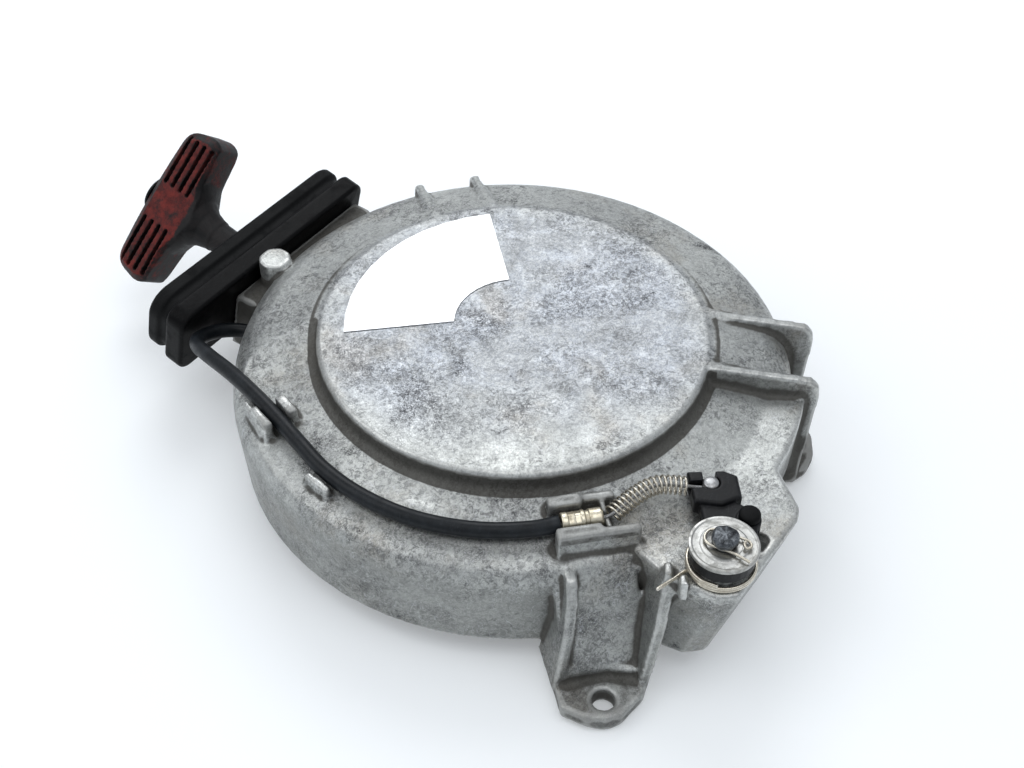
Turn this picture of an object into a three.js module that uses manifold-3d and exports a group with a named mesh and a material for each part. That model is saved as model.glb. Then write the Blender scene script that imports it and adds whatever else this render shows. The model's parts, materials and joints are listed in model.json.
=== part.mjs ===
// Recoil starter of an outboard engine: a die-cast housing with three outer feet and a rope guide,
// the rope reel with its pawl and rewind spring inside it, the pull handle, and on top the
// start-in-gear interlock that a sheathed cable works. Millimetres, +Z up. The crank axis is
// x = y = 0 and the origin is the middle of the flat top disc.
import * as THREE from 'three';
import { mergeVertices } from 'three/addons/utils/BufferGeometryUtils.js';
import Module from 'manifold-3d';

const wasm = await Module();
wasm.setup();

const TAU = 2 * Math.PI;
const rad = (degrees) => (degrees * Math.PI) / 180;

// ---- Driving dimensions. Heights count up from the surface the feet stand on.
const GAP = 0.3; // clearance kept between pieces that touch
const DRUM_R = 120; // outside of the drum
const WALL = 4; // casting wall
const RIM_Z = 12; // lower edge of the drum
const DISC_R = 83.4; // flat disc on top
const DISC_Z = 70;
const SHELF_Z = 62; // shelf at the foot of the step round the disc
const PLATFORM_Z = 56; // flat that carries the interlock
const FOOT_Z = 8.5; // top of a foot
const PAD_Z = 1.8; // height of the round pad under a foot
const BOLT_R = 4.5; // clearance hole for an M8 bolt

const POST_R = 9; // post that the reel turns on
const REEL_R = 84; // flange of the reel
const ROPE_R = 2.5; // 5 mm starter rope
const PITCH_R = 64.5; // rope centreline on the reel
const ROPE_Z = 35.5; // middle of the rope groove

const ROLLER = new THREE.Vector2(14.3, -125.5); // axis of the guide roller
const ROLLER_GROOVE_R = 4.5;
const STOP = new THREE.Vector2(50, 129); // axis of the interlock lever
const STOP_ARM = 58; // reach of the stopper inside the drum
const STOP_SWING = 28; // degrees from rest to blocked

const CABLE_R = 3.3; // sheathed cable
const WIRE_R = 0.8; // its inner wire

// Legs: direction from the crank axis, in degrees
const LEG_FRONT = 48.7;
const LEG_SIDE = 121.4;
const LEG_REAR = 230.7;

// The rope guide stands on its own plane, leaning back: x along it, y up it, z out along the rope
const GUIDE_LEAN = 13.6;
const GUIDE_AT = new THREE.Vector3(7, -140.2, 38.6);
const GUIDE_OUT = new THREE.Vector3(0, -Math.cos(rad(GUIDE_LEAN)), Math.sin(rad(GUIDE_LEAN)));
const GUIDE_UP = new THREE.Vector3(0, Math.sin(rad(GUIDE_LEAN)), Math.cos(rad(GUIDE_LEAN)));
const GUIDE = new THREE.Matrix4()
  .makeBasis(new THREE.Vector3(1, 0, 0), GUIDE_UP, GUIDE_OUT)
  .setPosition(GUIDE_AT);
const GUIDE_SCREWS = [-45, 23]; // places along the guide
const GUIDE_SCREW_Y = -8;
const HANDLE_TURN = 132; // the grip is turned about the rope from the guide's length

// ---- Small tools: geometry to solid, and solids in place
function solid(geometry) {
  geometry.deleteAttribute('normal');
  geometry.deleteAttribute('uv');
  const merged = mergeVertices(geometry, 1e-4);
  const p = merged.attributes.position;
  const index = merged.index.array;
  const tris = [];
  let volume = 0;
  const a = new THREE.Vector3();
  const b = new THREE.Vector3();
  const c = new THREE.Vector3();
  for (let i = 0; i < index.length; i += 3) {
    const [u, v, w] = [index[i], index[i + 1], index[i + 2]];
    if (u === v || v === w || w === u) continue;
    tris.push(u, v, w);
    a.fromBufferAttribute(p, u);
    b.fromBufferAttribute(p, v);
    c.fromBufferAttribute(p, w);
    volume += a.dot(b.cross(c));
  }
  if (volume < 0) tris.reverse();
  const mesh = new wasm.Mesh({
    numProp: 3,
    vertProperties: new Float32Array(p.array),
    triVerts: new Uint32Array(tris),
  });
  return new wasm.Manifold(mesh);
}

const unite = (...solids) => solids.reduce((sum, s) => sum.add(s));
const cut = (first, ...rest) => rest.reduce((left, s) => left.subtract(s), first);
const moved = (s, matrix) => s.transform(matrix.elements);

function box(x0, x1, y0, y1, z0, z1) {
  const g = new THREE.BoxGeometry(x1 - x0, y1 - y0, z1 - z0);
  return solid(g.translate((x0 + x1) / 2, (y0 + y1) / 2, (z0 + z1) / 2));
}

// Solid of revolution about +Z through (x, y); profile points are [radius, height]
function turned(profile, segments = 32, x = 0, y = 0) {
  const points = profile.map(([r, z]) => new THREE.Vector2(r, z));
  return solid(new THREE.LatheGeometry(points, segments).rotateX(Math.PI / 2).translate(x, y, 0));
}

const rod = (r, z0, z1, x = 0, y = 0, segments = 24) =>
  turned([[0, z0], [r, z0], [r, z1], [0, z1]], segments, x, y);

const ring = (r0, r1, z0, z1, x = 0, y = 0, segments = 28) =>
  turned([[r0, z0], [r1, z0], [r1, z1], [r0, z1], [r0, z0]], segments, x, y);

const shapeOf = (outline) => new THREE.Shape(outline.map(([x, y]) => new THREE.Vector2(x, y)));

function prism(shape, z0, z1, bevel = 0) {
  const g = new THREE.ExtrudeGeometry(Array.isArray(shape) ? shapeOf(shape) : shape, {
    depth: z1 - z0 - 2 * bevel,
    bevelEnabled: bevel > 0,
    bevelSize: bevel,
    bevelThickness: bevel,
    bevelOffset: -bevel,
    bevelSegments: 1,
    curveSegments: 5,
  });
  return solid(g.translate(0, 0, z0 + bevel));
}

function roundedRect(x0, x1, y0, y1, r) {
  const s = new THREE.Shape();
  s.absarc(x1 - r, y1 - r, r, 0, TAU / 4);
  s.absarc(x0 + r, y1 - r, r, TAU / 4, TAU / 2);
  s.absarc(x0 + r, y0 + r, r, TAU / 2, (3 * TAU) / 4);
  s.absarc(x1 - r, y0 + r, r, (3 * TAU) / 4, TAU);
  s.closePath();
  return s;
}

// Upright plate along a direction from the crank axis: its profile is [distance out, height],
// its middle lies sideways by `side`, counter-clockwise positive
function plate(direction, side, thickness, profile) {
  const e = new THREE.Vector3(Math.cos(rad(direction)), Math.sin(rad(direction)), 0);
  const up = new THREE.Vector3(0, 0, 1);
  const depth = e.clone().cross(up);
  const m = new THREE.Matrix4()
    .makeBasis(e, up, depth)
    .setPosition(depth.clone().multiplyScalar(-side - thickness / 2));
  return moved(prism(profile, 0, thickness), m);
}

// Flat piece with its outline [distance out, sideways] about a direction
const spread = (direction, outline, z0, z1) => prism(outline, z0, z1).rotate([0, 0, direction]);

const polar = (r, degrees, z) =>
  new THREE.Vector3(r * Math.cos(rad(degrees)), r * Math.sin(rad(degrees)), z);

// Round wire, rope or cable along a smooth curve
function tube(points, radius, sides, steps, tension = 0.5) {
  const path = new THREE.CatmullRomCurve3(points, false, 'catmullrom', tension);
  const section = shapeOf(
    Array.from({ length: sides }, (_, i) => {
      const t = (TAU * i) / sides;
      return [radius * Math.cos(t), radius * Math.sin(t)];
    }),
  );
  return solid(new THREE.ExtrudeGeometry(section, { steps, extrudePath: path, bevelEnabled: false }));
}

// Points of a helix about +Z through (x, y), `per` to a turn
function helix(r, z0, z1, turns, start, x = 0, y = 0, per = 12) {
  const n = Math.round(turns * per);
  return Array.from({ length: n + 1 }, (_, i) => {
    const t = rad(start) + (TAU * turns * i) / n;
    return new THREE.Vector3(x + r * Math.cos(t), y + r * Math.sin(t), z0 + ((z1 - z0) * i) / n);
  });
}

const onGuide = (x, y, z) => new THREE.Vector3(x, y, z).applyMatrix4(GUIDE);

const assembly = new THREE.Group();
assembly.name = 'recoil_starter';

function part(name, body, color, roughness, metalness) {
  const mesh = body.getMesh();
  const g = new THREE.BufferGeometry();
  g.setAttribute('position', new THREE.BufferAttribute(new Float32Array(mesh.vertProperties), 3));
  g.setIndex(new THREE.BufferAttribute(new Uint32Array(mesh.triVerts), 1));
  g.translate(0, 0, -DISC_Z);
  g.computeVertexNormals();
  const m = new THREE.Mesh(g, new THREE.MeshStandardMaterial({ color, roughness, metalness }));
  m.name = name;
  assembly.add(m);
}

const ALLOY = [0xa9a9a6, 0.5, 0.85];
const STEEL = [0x8f9092, 0.4, 0.95];
const ZINC = [0xb9b4a6, 0.35, 0.95];
const BLACK_PLASTIC = [0x17191c, 0.55, 0];
const RUBBER = [0x101113, 0.8, 0];

// ---- Housing
// Outside of the drum on the cable side: disc, step down to the shelf, shoulder, wall
const drum = turned([
  [0, RIM_Z], [DRUM_R - 2, RIM_Z], [DRUM_R, 44], [DRUM_R - 0.9, 49.4], [DRUM_R - 3, 53.2],
  [DRUM_R - 6.4, 55.2], [DRUM_R - 12, PLATFORM_Z], [86.5, SHELF_Z - 0.8], [84.6, SHELF_Z],
  [DISC_R, SHELF_Z + 1.6], [DISC_R - 0.2, DISC_Z - 1.6], [DISC_R - 1.6, DISC_Z], [0, DISC_Z],
], 72);

// On the far side the casting runs straight out from the disc's edge as a cone, and there it has
// no step. The cone starts at the side leg's near rib and fades into the shelf past the rope guide.
const SIDE_HALF = 16.5;
const CONE_TO = 298;
const cone = turned([
  [0, 20], [DRUM_R, 20], [DRUM_R, 44], [DRUM_R - 1, 50], [DRUM_R - 3.6, 55.6],
  [DRUM_R - 8, 60], [DRUM_R - 13, 62.6], [DISC_R - 0.4, DISC_Z - 0.7], [DISC_R - 2, DISC_Z], [0, DISC_Z],
], 72);
const besideLeg = (out) =>
  new THREE.Vector2(out, -SIDE_HALF).rotateAround(new THREE.Vector2(), rad(LEG_SIDE)).toArray();
const coneSector = prism(
  [[0, 0], besideLeg(60), besideLeg(150), ...Array.from({ length: 13 }, (_, i) => {
    const t = rad(LEG_SIDE + ((CONE_TO - LEG_SIDE) * i) / 12);
    return [150 * Math.cos(t), 150 * Math.sin(t)];
  })],
  19, DISC_Z + 1,
);
// The fade is a wedge that slopes down along the rim from the cone's end
const fade = moved(
  prism([[-1, 50], [48, 50], [35, SHELF_Z - 6], [0, DISC_Z + 0.4], [-1, DISC_Z + 0.4]], 0, 60),
  new THREE.Matrix4()
    .makeBasis(polar(1, CONE_TO + 90, 0), new THREE.Vector3(0, 0, 1), polar(1, CONE_TO, 0))
    .setPosition(polar(66, CONE_TO, 0)),
);
const coneSide = cone.intersect(unite(coneSector, fade));

// Interlock platform: widens upwards, and runs into the shelf towards the side leg
const arc = (r, from, to, n) =>
  Array.from({ length: n + 1 }, (_, i) => {
    const t = rad(from + ((to - from) * i) / n);
    return [r * Math.cos(t), r * Math.sin(t)];
  });
const leanIn = (v) => {
  v[1] -= (PLATFORM_Z - v[2]) * 0.25 * THREE.MathUtils.clamp((v[1] - 112) / 22, 0, 1);
};
const platform = prism(
  [[30, 90], [60, 92], [66, 117], [64, 136], [58, 142.4], [12, 142.6], [6.5, 140.4], [3.4, 136.6],
    [-1, 131], ...arc(124, 93, 113, 5), ...arc(100, 113, 100, 2)],
  RIM_Z, PLATFORM_Z, 1.2,
).warp(leanIn);
const platformInside = prism(
  [[12, 92], [54, 92], [60, 116], [60.4, 134], [56.6, 139.1], [13, 139.1], [8, 136], [5, 130], [8, 122]],
  -1, 51,
).warp(leanIn);

// Front leg: a channel between two walls that lean the same way, with the foot at its end
const slant = (s, rate) =>
  s.warp((v) => {
    v[0] -= (v[2] - FOOT_Z) * rate * Math.sin(rad(LEG_FRONT));
    v[1] += (v[2] - FOOT_Z) * rate * Math.cos(rad(LEG_FRONT));
  });
const frontFoot = [[112, -17], [131, -16.6], [146.5, -17], [153.5, -8.5], [155.4, -1.5], [155, 5],
  [147.5, 16], [141, 19.5], [112, 21]];
const frontStep = [[112, -15], [135.5, -14], [136.5, 5], [140, 16], [134, 20], [112, 20]];
const leftWall = plate(LEG_FRONT, -14.8, 4.6,
  [[110, 5], [137, 5], [136, 14], [133, 32], [127.5, 47], [122, 53], [110, 54.4]]);
const rightWall = plate(LEG_FRONT, 17.4, 5,
  [[110, 5], [143.5, 5], [142, 16], [139, 36], [133.5, 52], [128, 55.8], [104, 55.8]]);
const channel = plate(LEG_FRONT, 3, 33,
  [[110, 5], [136, 5], [136, 13], [129, 26], [123, 40], [119, 49], [114, 53], [108, 53]]);
const behindChannel = plate(LEG_FRONT, 3, 24,
  [[108, 13.5], [129, 13.5], [124.5, 25], [119, 38], [115, 45], [108, 45]]);
const frontLeg = unite(
  spread(LEG_FRONT, frontFoot, PAD_Z, FOOT_Z),
  channel,
  spread(LEG_FRONT, frontStep, 5, FOOT_Z + 4.5),
  slant(leftWall, 0.17),
  slant(rightWall, 0.21),
);

// The two legs on the far side: twin ribs from the disc's edge over the shoulder, down to a foot
function ribbedLeg(direction, half, reach, top, foot) {
  const rib = [[80, 40], [112, 20], [112, 5], [reach + 1, 5], [reach + 3.4, top - 9],
    [reach + 2.8, top - 3.4], [reach - 0.6, top], [reach - 5, top + 0.8], [DISC_R, DISC_Z - 0.4],
    [80, DISC_Z - 0.4]];
  return unite(
    plate(direction, -half, 4, rib),
    plate(direction, half, 4, rib),
    spread(direction, [[112, -half], [reach - 3, -half], [reach - 3, half], [112, half]], 5, 15),
    spread(direction, foot, PAD_Z, FOOT_Z),
  );
}
const REAR_HALF = 13.5;
const sideLeg = ribbedLeg(LEG_SIDE, SIDE_HALF, 125, 64.6,
  [[112, -18.5], [125, -18.5], [131, -13], [134.5, -5], [134.5, 6], [131, 14], [124, 18.5], [112, 18.5]]);
const rearLeg = ribbedLeg(LEG_REAR, REAR_HALF, 117, 62,
  [[110, -15.5], [125, -15.5], [133, -9], [136, 0], [133, 9], [125, 15.5], [110, 15.5]]);

// Bolt holes and round pads of the feet
const BOLTS = [polar(146.3, LEG_FRONT, 0), polar(126, LEG_SIDE, 0), polar(126.5, LEG_REAR, 0)];
const pads = BOLTS.map((p) => rod(9, 0, PAD_Z + 2, p.x, p.y));
const boltHoles = BOLTS.map((p) => rod(BOLT_R, -1, 30, p.x, p.y, 24));

// Bracket behind the rope guide, with a boss on top and a foot of its own under the roller
const BOSS = new THREE.Vector2(17.3, -118.8);
const BOSS_R = 7.2;
const BOSS_Z = 62;
const guideBack = -10 - GAP;
const bracketOutline = [[-42, -104], [-48, -118], [-50, -150], [36, -150], [36, -122], [35, -108],
  [34, -100]];
const bracket = cut(
  unite(
    prism(bracketOutline, 16, 48),
    rod(BOSS_R, 40, BOSS_Z, BOSS.x, BOSS.y),
    rod(11, 0, 18, ROLLER.x, ROLLER.y),
  ),
  moved(box(-90, 90, -60, 60, guideBack, 60), GUIDE)
    .subtract(rod(20, -5, 13.4, ROLLER.x, ROLLER.y))
    .subtract(rod(BOSS_R, 40, BOSS_Z + 1, BOSS.x, BOSS.y)),
  box(-42, -8, -126, -90, -1, 43), // hollow from below
);

// Walls that hold the cable: the anchor for its ferrule, the clip, and two locating lugs
const ANCHOR_TURN = 136.4; // the cable's direction at the anchor
const ANCHOR = new THREE.Matrix4()
  .makeRotationZ(rad(ANCHOR_TURN))
  .setPosition(64.8, 78.6, 0);
const onAnchor = (x, y, z) => new THREE.Vector3(x, y, z).applyMatrix4(ANCHOR);
const ANCHOR_Z = 66.5;
const anchorWalls = moved(
  unite(
    box(-13.5, 4.5, -11, -5.2, 50, ANCHOR_Z),
    box(4, 19, -11, -7.4, 50, ANCHOR_Z - 0.2),
    box(-13.5, -0.5, 5.2, 10.6, 54, ANCHOR_Z),
    box(-1, 13, 7.4, 11, 54, ANCHOR_Z - 1.2),
    cut(box(6.6, 8.6, -6, 6, 54, ANCHOR_Z - 2.6), box(6, 10, -1.4, 1.4, 60, 70)),
  ),
  ANCHOR,
);
const CLIP_DIRECTION = -17.2; // square to the cable as it crosses the shoulder
const clip = unite(
  spread(CLIP_DIRECTION, [[107.4, -31.4], [110.6, -31], [111.6, -18.4], [107.4, -18]], 46, 65.4),
  spread(CLIP_DIRECTION, [[107.4, -40], [109.4, -39.6], [112.2, -22], [107.4, -22]], 46, 61.4),
  spread(CLIP_DIRECTION, [[95.2, -29.4], [99.8, -29.8], [99.8, -18.4], [95.6, -17.8]], 54, 66),
);
const lugs = unite(
  spread(-9, [[108.4, -6.6], [111.2, -6.6], [111.8, 0], [111.2, 6.6], [108.4, 6.6], [107.8, 0]], 50, 61.6),
  spread(12.8, [[95, -6.6], [97.6, -6.6], [97.6, 6.6], [95, 6.6]], 54, 59.6),
);
const springLugs = unite(
  box(-2.6, 2.6, -1.6, 1.6, 50, 60.4).rotate([0, 0, 35]).translate([64.8, 114.8, 0]),
  box(-2.6, 2.6, -1.6, 1.6, 50, 60.4).rotate([0, 0, 35]).translate([66.4, 122.4, 0]),
);

// Inside of the drum
const cavity = turned([
  [0, -1], [DRUM_R - WALL, -1], [DRUM_R - WALL, 40], [DRUM_R - WALL - 3, 46.4],
  [DRUM_R - WALL - 8, 51], [87, 57], [79.6, 58.4], [79.4, DISC_Z - 4.5], [0, DISC_Z - 4.5],
], 72);
const BUSH_Z = 47.4; // foot of the interlock's bearing boss
const post = unite(
  turned([[0, 22], [POST_R, 22], [POST_R, 59], [12, 61], [16, 66.5], [0, 66.5]], 48),
  rod(8.5, BUSH_Z, 58.4, STOP.x, STOP.y),
  // hook for the outer end of the rewind spring
  box(69, 73.5, -2.4, 2.4, 47.4, 66).rotate([0, 0, 150]),
);

// Where the rope leaves the reel: it touches the pitch circle there and passes the roller
const ROPE_OFF = ROLLER_GROOVE_R + GAP + ROPE_R;
const leave = Math.acos((PITCH_R + ROPE_OFF) / ROLLER.length()) + Math.atan2(ROLLER.y, ROLLER.x);
const reelOff = new THREE.Vector3(PITCH_R * Math.cos(leave), PITCH_R * Math.sin(leave), ROPE_Z);
const ropeWay = new THREE.Vector3(Math.sin(leave), -Math.cos(leave), 0);
const ropeWindow = moved(
  box(-8, 8, -9, 9, 60, 120),
  new THREE.Matrix4()
    .makeBasis(
      new THREE.Vector3(Math.cos(leave), Math.sin(leave), 0),
      new THREE.Vector3(0, 0, 1),
      ropeWay,
    )
    .setPosition(reelOff),
);
const rollerPocket = box(-3, 24.4, -170, -112, 27.5, 43.5);

const CABLE_END = new THREE.Vector3(40.5, -112.5, 36); // where the far end of the cable is held
const cableEndWay = new THREE.Vector3(-0.34, 0.94, 0).normalize();
const alongCableEnd = new THREE.Matrix4()
  .makeBasis(
    new THREE.Vector3(0, 0, 1).cross(cableEndWay).normalize().negate(),
    new THREE.Vector3(0, 0, 1),
    cableEndWay,
  )
  .setPosition(CABLE_END);

let housing = unite(drum, coneSide, platform, frontLeg, sideLeg, rearLeg, ...pads, bracket);
housing = housing.add(anchorWalls).add(clip).add(lugs).add(springLugs);
housing = cut(housing, cavity, platformInside, behindChannel);
housing = housing.add(post);
housing = cut(
  housing,
  ...boltHoles,
  rod(4 + GAP, 10, 52, 0, 0, 24), // hole for the retaining bolt
  rod(4 + GAP, 36, 70, STOP.x, STOP.y, 24), // bearing of the interlock shaft
  prism(roundedRect(27, 36, 131, 138, 2.6), 46, 70), // slot beside the lever
  ropeWindow,
  rollerPocket,
  rod(2.5 + GAP, -1, 46.8, ROLLER.x, ROLLER.y, 24), // hole for the roller's pin
  moved(rod(4.6 + GAP, -40, 40), alongCableEnd), // hole for the cable's far fitting
  ...GUIDE_SCREWS.map((x) => moved(rod(2 + GAP, -26, 4, x, GUIDE_SCREW_Y, 16), GUIDE)),
);
part('housing', housing, ...ALLOY);

// ---- Rope guide: frame plate, rubber seal in front of it, and the rope's bush
const FRAME_X = [-61, 63.5];
const FRAME_Y = [-14, 22];
const NOSE_R = 7.4; // the handle's stem where it passes the seal
const SEAL_TOP = 12; // face of the seal, measured out from the frame
const frame = cut(
  prism(roundedRect(...FRAME_X, ...FRAME_Y, 7), -10, 0, 1),
  rod(8 + GAP, -11, 1),
  ...GUIDE_SCREWS.map((x) => rod(2.4 + GAP, -11, 1, x, GUIDE_SCREW_Y, 24)),
  ...GUIDE_SCREWS.map((x) => rod(4.4 + GAP, -3.2, 1, x, GUIDE_SCREW_Y, 24)),
);
const bossRelief = rod(BOSS_R + GAP, 39, 90, BOSS.x, BOSS.y);
const rollerRelief = rod(8.4, 26, 43, ROLLER.x, ROLLER.y);
part('guide_frame', cut(moved(frame, GUIDE), bossRelief, rollerRelief), ...BLACK_PLASTIC);

const seal = cut(
  unite(
    prism(roundedRect(-59, 60.5, -12, 18, 9), GAP, 5),
    prism(roundedRect(-62, 62, -15.5, 19.5, 11), 4.5, SEAL_TOP, 1.4),
  ),
  rod(NOSE_R + 0.8, -1, 20),
);
part('guide_seal', moved(seal, GUIDE), ...RUBBER);

GUIDE_SCREWS.forEach((x, i) => {
  const screw = cut(
    turned([[0, -24], [1.9, -24], [1.9, -3], [4.3, -3], [4.3, -1.2], [3.4, -0.4], [0, -0.4]], 24),
    box(-3, 3, -0.5, 0.5, -1.6, 1),
  );
  part(`guide_screw_${i + 1}`, moved(screw.translate([x, GUIDE_SCREW_Y, 0]), GUIDE), ...STEEL);
});

const BUSH_BORE = ROPE_R + 0.9;
const ropeBush = turned([
  [BUSH_BORE, -4.4], [BUSH_BORE + 1, -5.4], [8, -5.4], [8, -0.4], [BUSH_BORE + 1, -0.4], [BUSH_BORE, -1.4],
  [BUSH_BORE, -4.4],
], 28);
part('rope_bush', moved(ropeBush, GUIDE), ...ZINC);

// ---- Roller that turns the rope out of the drum, on a pin pressed into the bracket
const ropeAt = (y) => GUIDE_AT.z + ((GUIDE_AT.y - y) * GUIDE_OUT.z) / -GUIDE_OUT.y;
const ROLLER_Z = ropeAt(ROLLER.y);
const roller = turned([
  [2.5 + GAP, -6.4], [7.6, -6.4], [7.6, -5.2], [5.4, -2.6], [ROLLER_GROOVE_R, -1], [ROLLER_GROOVE_R, 1],
  [5.4, 2.6], [7.6, 5.2], [7.6, 6.4], [2.5 + GAP, 6.4], [2.5 + GAP, -6.4],
], 24).translate([ROLLER.x, ROLLER.y, ROLLER_Z]);
part('rope_roller', roller, ...STEEL);
part('roller_pin', rod(2.5, 2, 46.4, ROLLER.x, ROLLER.y, 24), ...STEEL);

// ---- Reel and what turns with it
const groove = { bottom: 28, top: 43, wall: 61.6 };
const flange = 2; // thickness of the reel's flanges
const flangeTop = groove.top + flange;
const HUB_R = 17;
const SPRING_LOW = 48;
const reelBody = turned([
  [12.4, 22.2], [HUB_R, 22.2], [HUB_R, groove.top], [groove.wall - 4, groove.top],
  [groove.wall - 4, groove.bottom - flange], [REEL_R, groove.bottom - flange], [REEL_R, groove.bottom],
  [groove.wall, groove.bottom], [groove.wall, groove.top], [REEL_R, groove.top],
  [REEL_R, flangeTop], [HUB_R, flangeTop], [HUB_R, 59], [12.4, 59], [12.4, 22.2],
], 48);
// Six ratchet notches in the upper flange, for the stopper; the steep side holds the reel
const ENGAGED = THREE.MathUtils.radToDeg(STOP.angle());
const notch = [[90, 0], [76.4, 0], [76.4, -20], [REEL_R + 1, -28], [92, -28]].map(([r, a]) => {
  const t = rad(ENGAGED + 17 + a);
  return [r * Math.cos(t), r * Math.sin(t)];
});
const NOTCHES = 6;
const notches = Array.from({ length: NOTCHES }, (_, i) =>
  prism(notch, groove.top - 0.2, flangeTop + 1).rotate([0, 0, (360 * i) / NOTCHES]),
);
const PAWL_AT = 38; // pivot of the pawl, out from the crank axis
const PAWL_DIRECTION = 205;
const pawlPivot = polar(PAWL_AT, PAWL_DIRECTION, 0);
const reel = cut(
  reelBody.add(rod(7, 24, groove.top + 1, pawlPivot.x, pawlPivot.y)),
  ...notches,
  rod(3 + GAP, 10, 40, pawlPivot.x, pawlPivot.y, 24),
  box(HUB_R - 2.4, HUB_R + 1, -1, 1, SPRING_LOW - 1, 60), // slot for the spring's inner hook
  ...[25, 85, 145, 265, 325].map((t) => {
    const p = polar(39, t, 0);
    return rod(9, 30, 60, p.x, p.y, 32); // lightening holes in the web
  }),
);
part('reel', reel, 0x2b2c2e, 0.6, 0);
part('reel_bush', ring(POST_R + GAP, 12.1, 22.6, 58.6), 0xa98a4a, 0.4, 0.9);

// Three turns of rope lie side by side, and the last one leaves along the pitch circle's tangent
const lay = (groove.top - groove.bottom) / 3;
const ropeCoil = turned([
  [groove.wall + 0.4, groove.bottom + 0.4],
  ...[0, 1, 2].flatMap((i) => {
    const z = groove.bottom + lay * (i + 0.5);
    return [[PITCH_R + 0.2, z - 2.2], [PITCH_R + ROPE_R, z], [PITCH_R + 0.2, z + 2.2]];
  }),
  [groove.wall + 0.4, groove.top - 0.4], [groove.wall + 0.4, groove.bottom + 0.4],
], 48);
const TAIL = 27.4; // straight rope that still lies between the flanges
const tail = tube([reelOff, reelOff.clone().addScaledVector(ropeWay, TAIL)], ROPE_R, 10, 1);
part('rope_winding', unite(ropeCoil, tail), 0x23262a, 0.9, 0);

// Free rope at rest: from the reel round the roller and out through the guide to the knot
const KNOT_FROM = 49; // inner end of the knot, out from the frame
const HANDLE_ROPE_TOP = KNOT_FROM - GAP;
const roundRoller = (turn) =>
  new THREE.Vector3(ROLLER.x, ROLLER.y, ROLLER_Z).add(
    new THREE.Vector3(-Math.cos(turn), -Math.sin(turn), 0).multiplyScalar(ROPE_OFF + 0.15),
  );
const ropeRun = tube([
  reelOff.clone().addScaledVector(ropeWay, TAIL + GAP),
  reelOff.clone().addScaledVector(ropeWay, TAIL + 28).setZ(ROPE_Z - 0.1),
  roundRoller(leave).addScaledVector(ropeWay, -14),
  roundRoller(leave),
  roundRoller(leave / 2),
  roundRoller(0),
  onGuide(0, 0, -11),
  onGuide(0, 0, -6),
  onGuide(0, 0, 16),
  onGuide(0, 0, HANDLE_ROPE_TOP),
], ROPE_R, 8, 26);
part('rope_run', ropeRun, 0x23262a, 0.9, 0);

// Rewind spring: a flat strip wound from the hub's slot out to the hook in the housing
const SPRING_TURNS = 6;
const STRIP = 0.8;
const stripEdge = (offset) =>
  Array.from({ length: SPRING_TURNS * 14 + 1 }, (_, i) => {
    const t = i / (SPRING_TURNS * 14);
    const r = HUB_R + 1.6 + t * 48 + offset;
    const a = TAU * SPRING_TURNS * t;
    return [r * Math.cos(a), r * Math.sin(a)];
  });
const stripOutline = [...stripEdge(STRIP), ...stripEdge(0).reverse()];
part('rewind_spring', prism(stripOutline, SPRING_LOW, SPRING_LOW + 9), 0x6f7174, 0.35, 0.95);

// ---- Pawl, friction plate and the bolt that holds the reel on its post
part('thrust_washer', ring(4 + GAP, 15, 20.2, 21.7), ...STEEL);
const frictionCoil = helix(8.4, 16.4, 19.1, 2.4, 0, 0, 0, 10);
part('friction_spring', tube(frictionCoil, 0.8, 6, 28), ...ZINC);

const PAWL_FOLD = 75; // at rest the nose is folded back this far from straight out, degrees
const PEG_IN = 13; // the pawl's peg, from its pivot towards the crank axis
const pawlLocal = unite(
  prism([[-PEG_IN - 3, -3.4], [-PEG_IN - 3, 3.4], [-6, 5.6], [0, 6.4], [0, -6.4], [-6, -5.6]], 17, 21.4),
  prism([[0, -6.4], [14, -5.4], [28, -2], [31, 3], [27, 5.6], [20, 3.4], [8, 5.6], [0, 6.4]], 17, 21.4)
    .rotate([0, 0, -PAWL_FOLD]),
  rod(6.4, 17, 21.4),
  rod(2, 11.6, 18, -PEG_IN, 0, 20),
);
const pawl = cut(pawlLocal, rod(3 + GAP, 10, 30, 0, 0, 24))
  .rotate([0, 0, PAWL_DIRECTION])
  .translate([pawlPivot.x, pawlPivot.y, 0]);
part('pawl', pawl, ...STEEL);
const pawlPin = turned([[0, 15.1], [5, 15.1], [5, 16.7], [3, 16.7], [3, 38], [0, 38]], 24);
part('pawl_pin', pawlPin.translate([pawlPivot.x, pawlPivot.y, 0]), ...STEEL);
const pawlSpring = tube([
  new THREE.Vector3(13, 5, 22.4),
  new THREE.Vector3(7, 5.2, 22.3),
  ...helix(4.6, 22.3, 23.4, 1.2, 60, 0, 0, 8),
], 0.4, 6, 18);
part('pawl_spring', pawlSpring.rotate([0, 0, PAWL_DIRECTION]).translate([pawlPivot.x, pawlPivot.y, 0]), ...ZINC);

const PLATE_Z = 12.8;
const frictionPlate = cut(
  unite(
    rod(18, PLATE_Z, PLATE_Z + 2, 0, 0, 48),
    prism([[10, -6], [33, -6], [33, 6], [10, 6]], PLATE_Z, PLATE_Z + 2).rotate([0, 0, PAWL_DIRECTION]),
  ),
  rod(4 + GAP, 0, 30, 0, 0, 24),
  prism(roundedRect(PAWL_AT - PEG_IN - 3.4, PAWL_AT - PEG_IN + 5, -2.9, 2.9, 2.4), 0, 30)
    .rotate([0, 0, PAWL_DIRECTION]),
);
part('friction_plate', frictionPlate, ...ZINC);
part('plate_washer', ring(4 + GAP, 10, 10.9, 12.5), ...STEEL);
const retainingBolt = turned([[0, 4.6], [6, 4.6], [6.6, 5.4], [6.6, 10.6], [4, 10.6], [4, 49], [0, 49]], 6);
part('retaining_bolt', unite(retainingBolt.intersect(rod(9, 0, 10.6)), rod(4, 10, 49, 0, 0, 24)), ...STEEL);

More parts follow.
